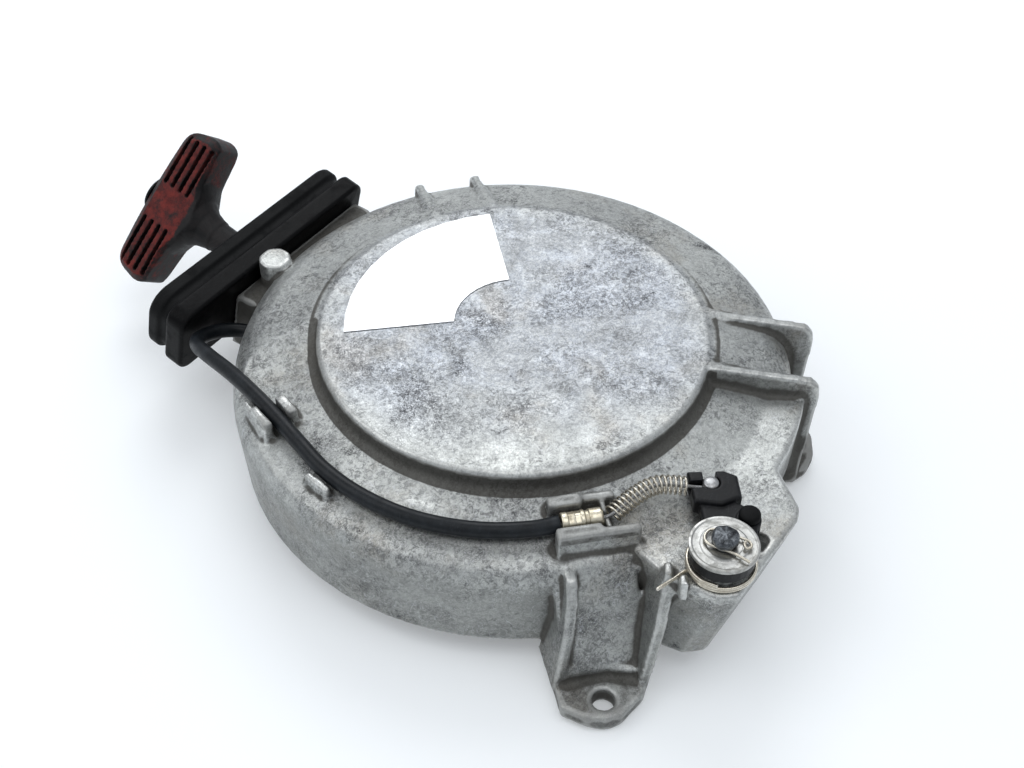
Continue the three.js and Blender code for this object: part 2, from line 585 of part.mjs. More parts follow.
// ---- Pull handle: T grip on a round stem, its rope knotted inside under a cap
const HANDLE = GUIDE.clone().multiply(
  new THREE.Matrix4().makeBasis(
    new THREE.Vector3(Math.cos(rad(HANDLE_TURN)), Math.sin(rad(HANDLE_TURN)), 0),
    new THREE.Vector3(0, 0, 1),
    new THREE.Vector3(Math.sin(rad(HANDLE_TURN)), -Math.cos(rad(HANDLE_TURN)), 0),
  ),
);
const GRIP_HALF = 39; // half the length of the grip
const GRIP_IN = 40; // its near side, out from the frame
const GRIP_OUT = 62.6;
const GRIP_THICK = 24;
const grip = new THREE.Shape();
grip.moveTo(-8, 26);
grip.quadraticCurveTo(-8.5, GRIP_IN - 1, -20, GRIP_IN);
grip.lineTo(-GRIP_HALF + 7, GRIP_IN + 1);
grip.quadraticCurveTo(-GRIP_HALF, GRIP_IN + 2, -GRIP_HALF, GRIP_IN + 9);
grip.lineTo(-GRIP_HALF + 1.5, GRIP_OUT - 7);
grip.quadraticCurveTo(-GRIP_HALF + 3, GRIP_OUT - 1, -GRIP_HALF + 10, GRIP_OUT - 0.6);
grip.quadraticCurveTo(0, GRIP_OUT + 1.4, GRIP_HALF - 10, GRIP_OUT - 0.6);
grip.quadraticCurveTo(GRIP_HALF - 3, GRIP_OUT - 1, GRIP_HALF - 1.5, GRIP_OUT - 7);
grip.lineTo(GRIP_HALF, GRIP_IN + 9);
grip.quadraticCurveTo(GRIP_HALF, GRIP_IN + 2, GRIP_HALF - 7, GRIP_IN + 1);
grip.lineTo(20, GRIP_IN);
grip.quadraticCurveTo(8.5, GRIP_IN - 1, 8, 26);
const GRIP_GROOVES = [-6.6, -2.2, 2.2, 6.6];
const gripGrooves = [-1, 1].flatMap((half) =>
  GRIP_GROOVES.flatMap((n) =>
    [-1, 1].map((face) =>
      box(-12.6, 12.6, -0.9, 0.9, -4, 4).translate([half * 21.6, 51.4 + n, (face * GRIP_THICK) / 2]),
    ),
  ),
);
const stem = rod(NOSE_R, 1.6, 40).rotate([-90, 0, 0]);
const neck = turned([[0, 20], [7.6, 20], [8, 28], [9.4, 33], [12.6, 37.4], [20, 41], [60, 45], [60, 90], [0, 90]], 40)
  .rotate([-90, 0, 0]);
const handle = cut(
  unite(prism(grip, -GRIP_THICK / 2, GRIP_THICK / 2, 3.4).intersect(neck), stem),
  rod(ROPE_R + 0.4, -1, 60, 0, 0, 20).rotate([-90, 0, 0]),
  rod(6.4, KNOT_FROM - 0.4, 80).rotate([-90, 0, 0]),
  ...gripGrooves,
);
part('handle', moved(handle, HANDLE), 0x4a1f1c, 0.6, 0);
const knot = turned([[0, KNOT_FROM], [3.6, KNOT_FROM + 0.6], [5.6, KNOT_FROM + 3], [5.8, KNOT_FROM + 6],
  [4.4, KNOT_FROM + 9], [0, KNOT_FROM + 10]], 20);
part('rope_knot', moved(knot, GUIDE), 0x23262a, 0.9, 0);
const cap = turned([[0, KNOT_FROM + 10.6], [5.9, KNOT_FROM + 10.6], [5.9, GRIP_OUT + 1.2],
  [8.6, GRIP_OUT + 1.2], [8.8, GRIP_OUT + 2.2], [7, GRIP_OUT + 3.2], [0, GRIP_OUT + 3.6]], 32);
part('handle_cap', moved(cap, GUIDE), ...BLACK_PLASTIC);

// ---- Start-in-gear interlock
const HUB_LOW = 61.4;
const HUB_TOP = 65.4;
const WASHER_Z = 67.4;
const atStop = (s) => s.translate([STOP.x, STOP.y, 0]);
const NIPPLE = new THREE.Vector2(24.6, 109.4);
const NIPPLE_R = 3.3;
const pullTurn = THREE.MathUtils.radToDeg(Math.atan2(91 - NIPPLE.y, 40.5 - NIPPLE.x));
const block = prism([[8.4, -6.4], [8.4, 9], [-2, 11.5], [-10.4, 8.4], [-10.8, -2.6], [-6, -5.6]], 59.4, 67, 0.8);
const blockSlots = unite(
  box(-1, 12, -1.4, 2.4, 62.2, 70), // slit for the wire
  box(-2.6, 2.6, -12, 1, 62.2, 70), // mouth that the nipple is dropped in by
  rod(NIPPLE_R + GAP, 61.4, 70, 0, 0, 24),
);
const clevis = cut(block, blockSlots)
  .rotate([0, 0, pullTurn])
  .translate([NIPPLE.x, NIPPLE.y, 0]);
const BUTTON = new THREE.Vector2(31.2, 129.6);
const lever = cut(
  unite(
    atStop(rod(12.6, HUB_LOW, WASHER_Z - GAP)),
    prism([[27, 115], [33, 108.5], [44, 118], [42, 138], [33, 134.5], [26.6, 131.5], [26, 125]], 58.8, HUB_TOP - 0.3, 0.6),
    rod(4.8, 58.8, HUB_TOP + 0.2, BUTTON.x, BUTTON.y),
    clevis,
  ),
  atStop(ring(11.6, 20, 50, HUB_LOW)), // stands clear of the torsion spring below
  atStop(rod(4 + GAP, 40, 80, 0, 0, 24)),
  rod(2.2, 62, 70, BUTTON.x, BUTTON.y, 20),
);
part('stop_lever', lever, ...BLACK_PLASTIC);
const button = turned([[0, 62.4], [1.9, 62.4], [1.9, HUB_TOP + 0.5], [4.2, HUB_TOP + 0.5],
  [4.2, HUB_TOP + 2.8], [3.2, HUB_TOP + 3.8], [0, HUB_TOP + 4.2]], 28);
part('lever_button', button.translate([BUTTON.x, BUTTON.y, 0]), ...RUBBER);
const washer = turned([[4 + GAP, WASHER_Z], [12.8, WASHER_Z], [13.3, WASHER_Z + 0.6], [13.3, WASHER_Z + 1.3],
  [12.8, WASHER_Z + 1.7], [9, WASHER_Z + 1.5], [4 + GAP, WASHER_Z + 1.7], [4 + GAP, WASHER_Z]], 32);
part('lever_washer', atStop(washer), ...ZINC);

const ARM_Z = [41.6, 47];
const CLIP_Z = 70.3;
const shaft = turned([[0, 36.6], [3.9, 36.6], [3.9, CLIP_Z - 0.8], [3, CLIP_Z - 0.8], [3, CLIP_Z + 0.8],
  [5.3, CLIP_Z + 0.8], [5.4, 73.2], [4.4, 74.5], [0, 75]], 28);
part('stopper_shaft', atStop(shaft), 0x3a3c3f, 0.45, 0.9);
const REST_TURN = ENGAGED + 180 - STOP_SWING;
const stopperArm = cut(
  unite(
    rod(5.8, ARM_Z[0], ARM_Z[1]),
    prism([[0, -5.6], [14, -5], [STOP_ARM - 4, -2.6], [STOP_ARM, -2.2], [STOP_ARM, 2.2], [STOP_ARM - 8, 3.4],
      [14, 5], [0, 5.6]], ...ARM_Z),
  ),
  rod(3.9 + GAP, 0, 60, 0, 0, 24),
);
part('stopper', atStop(stopperArm.rotate([0, 0, REST_TURN])), ...STEEL);
const shaftRing = ring(3.9 + GAP, 5.1, 37.2, 41.3, STOP.x, STOP.y, 24);
part('stopper_collar', shaftRing, ...STEEL);

// Hairpin clip in the groove of the shaft: two legs, the bend round the shaft, an eye at one end
const wire = 0.6;
const clipLoop = [
  [11.6, -5], [9, -4.4], [5, -3.75], [0, -3.7], [-4.4, -3.9], [-6.8, -2.6], [-7.6, 0], [-6.8, 2.6],
  [-4.4, 3.9], [0, 3.7], [5, 4.2], [8.2, 4], [9.6, 2], [8.2, 0.6], [6.8, 1.8], [7.2, 2.8],
].map(([x, y], i) => new THREE.Vector3(x, y, CLIP_Z + (i > 13 ? 0.9 : 0)));
const hairpin = tube(clipLoop, wire - 0.05, 6, 42);
part('retaining_clip', atStop(hairpin.rotate([0, 0, 98])), ...ZINC);

// Torsion spring under the lever: one leg between the two lugs, the other behind the lever's arm
const COIL_R = 12.9;
const coil = helix(COIL_R, PLATFORM_Z + 1.1, PLATFORM_Z + 3.9, 2.2, -40, STOP.x, STOP.y, 12);
const lugLeg = new THREE.Vector3(75, 116.2, PLATFORM_Z + 2.6);
const returnLeg = [lugLeg, new THREE.Vector3(66.8, 118.4, PLATFORM_Z + 1.6)];
part('torsion_spring', tube([...returnLeg, ...coil], 0.7, 6, 48), ...ZINC);

// ---- Cable: black sheath clipped to the shelf, ferrule, inner wire and the spring over it
const cableRoute = [
  onAnchor(-10.3, 0, 62.2),
  new THREE.Vector3(78.6, 65.6, 61.4),
  new THREE.Vector3(91.5, 48, 60.8),
  new THREE.Vector3(101, 25, 60.6),
  new THREE.Vector3(104, 2, 60.6),
  new THREE.Vector3(102, -19, 60.8),
  new THREE.Vector3(96.7, -37, 61.2),
  new THREE.Vector3(90.6, -56, 61.4),
  new THREE.Vector3(85.6, -73, 60.6),
  new THREE.Vector3(81.4, -88, 58.8),
  new THREE.Vector3(76.9, -104.5, 55.4),
  new THREE.Vector3(72, -116, 51),
  new THREE.Vector3(65.6, -122.4, 46.4),
  new THREE.Vector3(57, -124.6, 42.2),
  new THREE.Vector3(49, -123.4, 38.8),
  new THREE.Vector3(43, -118.6, 36.6),
  CABLE_END.clone().addScaledVector(cableEndWay, 0.4),
];
part('control_cable', tube(cableRoute, CABLE_R, 8, 44), ...RUBBER);
const ferrule = turned([[1.2, -9.9], [3.8, -9.9], [4.1, -9], [4.1, -1], [3.6, 0], [4.1, 1], [4.1, 5.6], [3.6, 6.2],
  [1.2, 6.2], [1.2, -9.9]], 28).rotate([0, 90, 0]).translate([0, 0, 62.2]);
part('cable_ferrule', moved(ferrule, ANCHOR), ...ZINC);
const endFitting = cut(
  unite(rod(4.6, 0.8, 14), rod(6.4, 10.6, 12.4)),
  rod(1.2, -5, 30, 0, 0, 16),
);
part('cable_end_fitting', moved(endFitting, alongCableEnd), ...ZINC);

const wireStart = onAnchor(-8, 0, 62.2);
const clevisMouth = new THREE.Vector3(
  NIPPLE.x + 3.5 * Math.cos(rad(pullTurn)), NIPPLE.y + 3.5 * Math.sin(rad(pullTurn)), 64,
);
const wirePath = [
  wireStart,
  onAnchor(0, 0, 62.2),
  onAnchor(9, 0, 62.4),
  new THREE.Vector3(46, 88.6, 65),
  new THREE.Vector3(37.4, 92.8, 65.8),
  clevisMouth,
];
part('inner_wire', tube(wirePath, WIRE_R, 8, 14), ...STEEL);
const COIL_TURNS = 12;
const springPath = new THREE.CatmullRomCurve3(
  wirePath.slice(2).map((p, i) => (i === 0 ? onAnchor(9.9, 0, 62.8) : p)),
);
const returnCoil = Array.from({ length: COIL_TURNS * 6 + 1 }, (_, i) => {
  const t = (0.8 * i) / (COIL_TURNS * 6);
  const along = springPath.getTangentAt(t);
  const across = along.clone().cross(new THREE.Vector3(0, 0, 1)).normalize();
  const above = across.clone().cross(along);
  const turn = (TAU * i) / 6;
  return springPath.getPointAt(t)
    .addScaledVector(across, 3.5 * Math.cos(turn))
    .addScaledVector(above, 3.5 * Math.sin(turn));
});
part('return_spring', tube(returnCoil, 0.45, 5, COIL_TURNS * 6), ...ZINC);
part('cable_nipple', rod(NIPPLE_R, 61.8, 67.4, NIPPLE.x, NIPPLE.y, 24), ...STEEL);

// ---- Label on the disc: a fan-shaped plate
const labelShape = new THREE.Shape();
labelShape.absarc(-4, 0, 74, rad(225.2), rad(310.6));
labelShape.absarc(-4, 0, 27.5, rad(305), rad(223.6), true);
labelShape.closePath();
part('label', prism(labelShape, DISC_Z + GAP / 2, DISC_Z + 0.45), 0xe8e8e6, 0.35, 0.3);

export default assembly;
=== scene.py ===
import json
import math

import bmesh
import bpy
import numpy as np
from mathutils import Matrix, Vector


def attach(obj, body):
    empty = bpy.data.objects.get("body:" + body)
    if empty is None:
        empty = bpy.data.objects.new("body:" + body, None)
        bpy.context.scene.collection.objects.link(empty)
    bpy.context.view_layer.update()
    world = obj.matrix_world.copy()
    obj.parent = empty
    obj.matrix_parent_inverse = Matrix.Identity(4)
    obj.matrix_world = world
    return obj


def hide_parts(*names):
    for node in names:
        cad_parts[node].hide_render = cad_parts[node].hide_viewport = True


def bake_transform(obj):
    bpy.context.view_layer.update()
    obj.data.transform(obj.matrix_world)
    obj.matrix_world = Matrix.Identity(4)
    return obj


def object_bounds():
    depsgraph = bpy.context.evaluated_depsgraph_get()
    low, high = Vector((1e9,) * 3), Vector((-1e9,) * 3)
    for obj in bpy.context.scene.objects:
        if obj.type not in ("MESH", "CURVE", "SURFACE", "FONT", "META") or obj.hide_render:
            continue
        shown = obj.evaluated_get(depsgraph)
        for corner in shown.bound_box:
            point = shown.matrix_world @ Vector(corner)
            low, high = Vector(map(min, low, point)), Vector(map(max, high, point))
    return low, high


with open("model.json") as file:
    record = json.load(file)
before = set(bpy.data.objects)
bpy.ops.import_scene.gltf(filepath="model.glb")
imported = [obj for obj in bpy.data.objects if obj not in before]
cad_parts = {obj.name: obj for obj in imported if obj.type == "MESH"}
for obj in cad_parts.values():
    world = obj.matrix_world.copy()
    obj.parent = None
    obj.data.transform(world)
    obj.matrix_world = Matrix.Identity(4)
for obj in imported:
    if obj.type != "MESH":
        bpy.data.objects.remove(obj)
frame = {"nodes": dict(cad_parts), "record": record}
cad_box = [list(corner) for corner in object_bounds()]
scene = bpy.context.scene

MM = 0.001
DISC_Z = 70  # height of the disc over the surface that the feet stand on, mm
BODY_OF = {n: b for b, names in frame["record"]["behaviour"]["bodies"].items() for n in names}


def at(x, y, z):
    """A point given in mm, with z over the surface that the feet stand on."""
    return Vector((x * MM, y * MM, (z - DISC_Z) * MM))


def polar(radius, degrees, z):
    return at(radius * math.cos(math.radians(degrees)), radius * math.sin(math.radians(degrees)), z)


def axes(x, y, z, origin):
    """The matrix of a local frame with these axes and this origin."""
    m = Matrix((x, y, z)).transposed().to_4x4()
    m.translation = origin
    return m


# ---- Local frames of the rope guide, the handle and the cable's anchor
LEAN = math.radians(13.6)
GUIDE_UP = Vector((0, math.sin(LEAN), math.cos(LEAN)))
GUIDE_OUT = Vector((0, -math.cos(LEAN), math.sin(LEAN)))
GUIDE_AT = (7, -140.2, 38.6)  # where the rope passes the guide's frame
GUIDE = axes(Vector((1, 0, 0)), GUIDE_UP, GUIDE_OUT, at(*GUIDE_AT))
HANDLE_TURN = math.radians(132)
HANDLE = GUIDE @ axes(
    Vector((math.cos(HANDLE_TURN), math.sin(HANDLE_TURN), 0)),
    Vector((0, 0, 1)),
    Vector((math.sin(HANDLE_TURN), -math.cos(HANDLE_TURN), 0)),
    Vector(),
)
ANCHOR = Matrix.Translation(at(64.8, 78.6, 0)) @ Matrix.Rotation(math.radians(136.4), 4, "Z")
STOP = (50, 129)  # axis of the interlock lever
NIPPLE = (24.6, 109.4)
BUTTON = (31.2, 129.6)
CABLE_Z = 62.2  # height of the cable's axis in its anchor
WIRE_BEND = (at(46, 88.6, 65), at(37.4, 92.8, 65.8))  # where the wire and its spring curve
PULL_FROM = (40.5, 91)  # the inner wire pulls the nipple towards here
PULL_TURN = math.atan2(PULL_FROM[1] - NIPPLE[1], PULL_FROM[0] - NIPPLE[0])
ROLLER = (14.3, -125.5)


def on_guide(x, y, z):
    return GUIDE @ Vector((x * MM, y * MM, z * MM))


def on_anchor(x, y, z):
    return ANCHOR @ Vector((x * MM, y * MM, z * MM))


# ---- Camera
def set_camera():
    azimuth, elevation, roll = (math.radians(a) for a in (124.2, 44.8, 1.0))
    forward = Vector((
        -math.sin(azimuth) * math.cos(elevation),
        math.cos(azimuth) * math.cos(elevation),
        -math.sin(elevation),
    ))
    right = Vector((math.cos(azimuth), math.sin(azimuth), 0))
    down = forward.cross(right)
    across = math.cos(roll) * right - math.sin(roll) * down
    below = math.sin(roll) * right + math.cos(roll) * down
    data = bpy.data.cameras.new("camera")
    data.sensor_width = 36
    data.lens = 52.73
    data.clip_start = 0.02
    camera = bpy.data.objects.new("camera", data)
    camera.matrix_world = axes(across, -below, -forward, Vector((0.3842, 0.2606, 0.4276)))
    scene.collection.objects.link(camera)
    scene.camera = camera


set_camera()


# ---- Materials
def srgb(r, g, b):
    """A colour given as 0 to 255 in each channel, for a shader."""
    def linear(v):
        v /= 255
        return v / 12.92 if v <= 0.04045 else ((v + 0.055) / 1.055) ** 2.4
    return (linear(r), linear(g), linear(b), 1)


class Look:
    """A Principled material, with short ways to add procedural nodes to it."""

    def __init__(self, name, color, roughness, metallic=0.0, **uniform):
        self.material = bpy.data.materials.new(name)
        self.material.use_nodes = True
        self.tree = self.material.node_tree
        self.shader = self.tree.nodes["Principled BSDF"]
        self.place = self.tree.nodes.new("ShaderNodeTexCoord").outputs["Object"]
        self.bumps = []
        self.set("Base Color", color)
        self.set("Roughness", roughness)
        self.set("Metallic", metallic)
        for socket, value in uniform.items():
            self.set(socket.replace("_", " "), value)

    def set(self, socket, value):
        self.join(self.shader.inputs[socket], value)

    def join(self, socket, value):
        if isinstance(value, bpy.types.NodeSocket):
            self.tree.links.new(value, socket)
        else:
            socket.default_value = value

    def noise(self, scale, detail=3.0, rough=0.55, distort=0.0, place=None):
        n = self.tree.nodes.new("ShaderNodeTexNoise")
        self.join(n.inputs["Vector"], place or self.place)
        n.inputs["Scale"].default_value = scale
        n.inputs["Detail"].default_value = detail
        n.inputs["Roughness"].default_value = rough
        n.inputs["Distortion"].default_value = distort
        return n.outputs[0]

    def stretched(self, scale, turn=(0, 0, 0)):
        """Object coordinates, scaled unevenly and turned, for brushed or scratched lines."""
        m = self.tree.nodes.new("ShaderNodeMapping")
        self.join(m.inputs["Vector"], self.place)
        m.inputs["Scale"].default_value = scale
        m.inputs["Rotation"].default_value = turn
        return m.outputs[0]

    def math(self, operation, a, b=0.0):
        n = self.tree.nodes.new("ShaderNodeMath")
        n.operation = operation
        self.join(n.inputs[0], a)
        self.join(n.inputs[1], b)
        return n.outputs[0]

    def span(self, value, low, high, out_low=0.0, out_high=1.0):
        """A smooth step of value, from out_low at low to out_high at high."""
        n = self.tree.nodes.new("ShaderNodeMapRange")
        n.interpolation_type = "SMOOTHSTEP"
        for socket, v in zip(n.inputs, (value, low, high, out_low, out_high)):
            self.join(socket, v)
        return n.outputs[0]

    def lines(self, scale, width, detail=2.0, distort=0.6, place=None):
        """Thin wandering lines, 1 on the line."""
        n = self.noise(scale, detail, 0.55, distort, place)
        off = self.math("ABSOLUTE", self.math("SUBTRACT", n, 0.5))
        return self.span(off, 0.0, width, 1.0, 0.0)

    def mix(self, amount, a, b):
        n = self.tree.nodes.new("ShaderNodeMix")
        n.data_type = "RGBA"
        self.join(n.inputs[0], amount)
        self.join(n.inputs[6], a)
        self.join(n.inputs[7], b)
        return n.outputs[2]

    def attribute(self, name):
        n = self.tree.nodes.new("ShaderNodeAttribute")
        n.attribute_name = name
        return n.outputs["Fac"]

    def bump(self, height, distance, strength=1.0):
        n = self.tree.nodes.new("ShaderNodeBump")
        n.inputs["Strength"].default_value = strength
        n.inputs["Distance"].default_value = distance
        self.join(n.inputs["Height"], height)
        if self.bumps:
            self.tree.links.new(self.bumps[-1], n.inputs["Normal"])
        self.bumps.append(n.outputs[0])
        self.tree.links.new(n.outputs[0], self.shader.inputs["Normal"])


def cast_alloy():
    """Worn die-cast aluminium: a fine mottle, dark flecks and scratches, grime and painted shade in its
    corners and on its walls, polish and painted highlights on its edges.
    """
    look = Look("cast_alloy", srgb(150, 153, 154), 0.5, 0.85)
    edge, hollow = look.attribute("edge"), look.attribute("hollow")
    grime_and_shade, clean = look.attribute("grime_and_shade"), look.attribute("clean")
    # the flat disc is pale and bluish, the rest of the casting duller
    shade = look.span(look.noise(17, 4, 0.6, 0.4), 0.4, 0.62)
    dull = look.mix(shade, srgb(178, 180, 177), srgb(206, 208, 204))
    shade = look.span(look.noise(22, 6, 0.65, 0.5), 0.4, 0.62)
    fresh = look.mix(shade, srgb(152, 155, 158), srgb(176, 181, 188))
    color = look.mix(clean, dull, fresh)
    bloom = look.math("MULTIPLY", look.span(look.noise(48, 8, 0.75, 0.6), 0.47, 0.62), clean)
    color = look.mix(look.math("MULTIPLY", bloom, 0.42), color, srgb(212, 218, 227))
    warm = look.span(look.noise(24, 5, 0.6, 0.3, look.stretched((1, 1, 1), (0.4, 0.2, 0.9))), 0.5, 0.64)
    color = look.mix(look.math("MULTIPLY", warm, 0.4), color, srgb(166, 157, 142))
    mottle = look.span(look.noise(560, 5, 0.72, 0.9), 0.4, 0.62)
    color = look.mix(look.math("MULTIPLY", mottle, 0.42), color, srgb(208, 210, 209))
    pits = look.span(look.noise(430, 6, 0.78, 1.0, look.stretched((1, 1, 1), (0.9, 0.4, 0.2))), 0.47, 0.58)
    rubbed = look.span(look.noise(30, 7, 0.7, 0.3), 0.38, 0.6, 0.3, 1.0)
    pitted = look.math("MULTIPLY", pits, rubbed)
    color = look.mix(look.math("MULTIPLY", pitted, 0.66), color, srgb(78, 79, 80))
    # steep lower walls darker: partly dirt, partly painted shade for the shadowed floor they reflect
    color = look.mix(look.math("MULTIPLY", look.attribute("wall"), 0.62), color, srgb(122, 124, 121))
    # crisp dark flecks, thick where the stains are and thin elsewhere
    stains = look.span(look.noise(26, 9, 0.8, 0.15), 0.46, 0.68)
    flecks = look.math("MAXIMUM", look.lines(300, 0.045, 4, 1.8), look.lines(560, 0.06, 3, 2.2))
    specks = look.span(look.noise(700, 4, 0.7, 0.8), 0.55, 0.6)
    blots = look.span(look.noise(46, 7, 0.72, 0.2), 0.58, 0.68)
    stains = look.math("MAXIMUM", stains, look.math("MULTIPLY", blots, 1.3))
    thickness = look.math("ADD", look.math("MULTIPLY", stains, 0.6), 0.26)
    marked = look.math("MULTIPLY", look.math("MAXIMUM", flecks, specks), thickness)
    color = look.mix(look.math("MINIMUM", marked, 0.9), color, srgb(54, 54, 58))
    color = look.mix(look.math("MULTIPLY", stains, 0.16), color, srgb(98, 98, 100))
    scratches = look.lines(60, 0.005, 3, 0.5, look.stretched((1, 2.4, 1), (0, 0, 0.7)))
    color = look.mix(look.math("MULTIPLY", scratches, 0.45), color, srgb(206, 209, 214))
    # grime and painted shade in the corners and hollows, broken up, and thinly polished edges lightened with
    # painted highlights
    patchy = look.noise(150, 6, 0.72, 0.4)
    # partly grime, partly painted shade: darker in the hollows and where the housing's mask marks
    dirt_and_shade = look.math("ADD", grime_and_shade, hollow)
    dirt_and_shade = look.span(look.math("ADD", dirt_and_shade, look.math("MULTIPLY", patchy, 0.7)), 0.62, 1.2)
    color = look.mix(look.math("MULTIPLY", dirt_and_shade, 0.88), color, srgb(58, 55, 49))
    # convex edges lightened: partly polished wear, partly painted highlight
    edge_polish_and_highlight = look.span(look.math("ADD", edge, look.math("MULTIPLY", patchy, 0.7)), 0.78, 1.25)
    color = look.mix(look.math("MULTIPLY", edge_polish_and_highlight, 0.34), color, srgb(204, 205, 202))
    look.set("Base Color", color)
    rough = look.span(look.noise(90, 5, 0.6), 0.3, 0.7, 0.36, 0.5)
    rough = look.math("ADD", rough, look.math("MULTIPLY", look.math("MAXIMUM", dirt_and_shade, marked), 0.2))
    look.set("Roughness", look.math("SUBTRACT", rough, look.math("MULTIPLY", edge_polish_and_highlight, 0.1)))
    look.set("Metallic", look.math("SUBTRACT", 0.88, look.math("MULTIPLY", dirt_and_shade, 0.5)))
    look.bump(look.noise(700, 5, 0.7), 0.00014, 0.6)
    look.bump(look.noise(60, 4, 0.5), 0.0004, 0.2)
    look.bump(look.math("MULTIPLY", marked, -1.0), 0.00006, 0.6)
    return look.material


def bare_metal(name, light, dark, roughness, stain=0.5, grain=900, lines=(1, 1, 1)):
    """Machined or drawn metal with tarnish, fine scratches and painted shade in its corners."""
    look = Look(name, light, roughness, 0.95)
    tarnish = look.span(look.noise(180, 6, 0.7, 0.6), 0.44, 0.68)
    fine = look.lines(grain, 0.05, 3, 1.2, look.stretched(lines))
    color = look.mix(look.math("MULTIPLY", tarnish, stain), light, dark)
    color = look.mix(look.math("MULTIPLY", fine, stain * 0.7), color, dark)
    # painted shade: the hollows darkened almost to black
    hollow = look.span(look.attribute("hollow"), 0.2, 0.9)
    color = look.mix(look.math("MULTIPLY", hollow, 0.8), color, srgb(36, 34, 30))
    edge = look.span(look.attribute("edge"), 0.4, 1.1)
    color = look.mix(look.math("MULTIPLY", edge, 0.4), color, srgb(226, 225, 220))
    look.set("Base Color", color)
    rough = look.span(tarnish, 0.0, 1.0, roughness, min(0.9, roughness + 0.22))
    look.set("Roughness", rough)
    look.bump(look.noise(grain, 4, 0.6, 0, look.stretched(lines)), 0.00005, 0.5)
    return look.material


def black_polymer(name, color, worn, roughness, dust=0.35, grain=0.00006, shine=0.2):
    """Black plastic, paint or rubber: dusty, scuffed pale on its edges."""
    look = Look(name, color, roughness, 0.0, Specular_IOR_Level=shine)
    patches = look.span(look.noise(75, 6, 0.68, 0.5), 0.45, 0.7)
    scuffs = look.lines(160, 0.012, 4, 0.9, look.stretched((1, 2.2, 1), (0.3, 0.8, 0.5)))
    specks = look.span(look.noise(900, 3, 0.6), 0.66, 0.74)
    uneven = look.math("MULTIPLY", look.noise(260, 4), 0.5)
    edge = look.span(look.math("ADD", look.attribute("edge"), uneven), 0.62, 1.05)
    tint = look.mix(look.math("MULTIPLY", patches, dust), color, worn)
    tint = look.mix(look.math("MULTIPLY", edge, 0.3), tint, worn)
    tint = look.mix(look.math("MULTIPLY", look.math("MAXIMUM", scuffs, specks), 0.3), tint, worn)
    look.set("Base Color", tint)
    look.set("Roughness", look.span(patches, 0.0, 1.0, roughness, min(0.95, roughness + 0.2)))
    look.bump(look.noise(1100, 4, 0.6), grain, 0.6)
    look.bump(look.noise(130, 3, 0.5), grain * 4, 0.2)
    return look.material


def worn_red():
    """The handle: faded red paint on the flats of the grip, rubbed through to black elsewhere."""
    look = Look("handle_worn_red", srgb(96, 36, 34), 0.5, 0.0, Specular_IOR_Level=0.25)
    face = look.attribute("painted")
    patches = look.noise(95, 7, 0.75, 0.6)
    fine = look.noise(520, 5, 0.7)
    rubbing = look.math("ADD", look.math("MULTIPLY", patches, 0.9), look.math("MULTIPLY", fine, 0.35))
    left = look.math("ADD", face, rubbing)
    red = look.span(look.noise(240, 5, 0.7), 0.3, 0.7)
    paint = look.mix(red, srgb(64, 16, 15), srgb(112, 36, 30))
    base = look.mix(look.span(patches, 0.4, 0.65), srgb(13, 13, 14), srgb(36, 33, 33))
    color = look.mix(look.span(left, 1.36, 1.62), base, paint)
    edge = look.span(look.math("ADD", look.attribute("edge"), look.math("MULTIPLY", fine, 0.6)), 0.75, 1.15)
    color = look.mix(look.math("MULTIPLY", edge, 0.3), color, srgb(112, 96, 92))
    look.set("Base Color", color)
    look.set("Roughness", look.span(patches, 0.3, 0.7, 0.45, 0.7))
    look.bump(look.noise(700, 4, 0.6), 0.00008, 0.7)
    look.bump(patches, 0.0004, 0.25)
    return look.material


def label_foil():
    """A blank silver-white foil label with faint smudges."""
    look = Look("label_foil", srgb(247, 248, 249), 0.3, 0.35, Coat_Weight=0.4, Coat_Roughness=0.2)
    where = look.span(look.noise(26, 3, 0.5), 0.6, 0.72)
    smudge = look.math("MULTIPLY", look.span(look.noise(1300, 3, 0.7), 0.54, 0.62), where)
    haze = look.span(look.noise(40, 5, 0.6), 0.4, 0.75)
    color = look.mix(look.math("MULTIPLY", haze, 0.12), srgb(250, 251, 252), srgb(214, 218, 222))
    color = look.mix(look.math("MULTIPLY", smudge, 0.5), color, srgb(120, 124, 120))
    look.set("Base Color", color)
    look.set("Roughness", look.span(haze, 0.0, 1.0, 0.28, 0.42))
    look.bump(look.noise(300, 3, 0.5), 0.00003, 0.3)
    return look.material


def rope_fibre():
    """Braided polyester rope: charcoal, with fluff and light flecks in its strands."""
    look = Look("rope_fibre", srgb(44, 46, 50), 0.85, 0.0, Sheen_Weight=0.35, Sheen_Roughness=0.5)
    fibre = look.noise(2600, 4, 0.7, 0.3, look.stretched((1, 1, 0.3)))
    color = look.mix(look.span(fibre, 0.35, 0.7), srgb(26, 27, 30), srgb(70, 73, 78))
    worn = look.span(look.noise(160, 4, 0.6), 0.56, 0.72)
    color = look.mix(look.math("MULTIPLY", worn, 0.4), color, srgb(116, 112, 104))
    # painted shade: the hollows between the strands darkened almost to black
    color = look.mix(look.span(look.attribute("hollow"), 0.1, 0.8), color, srgb(12, 12, 13))
    look.set("Base Color", color)
    look.bump(fibre, 0.00012, 0.8)
    return look.material


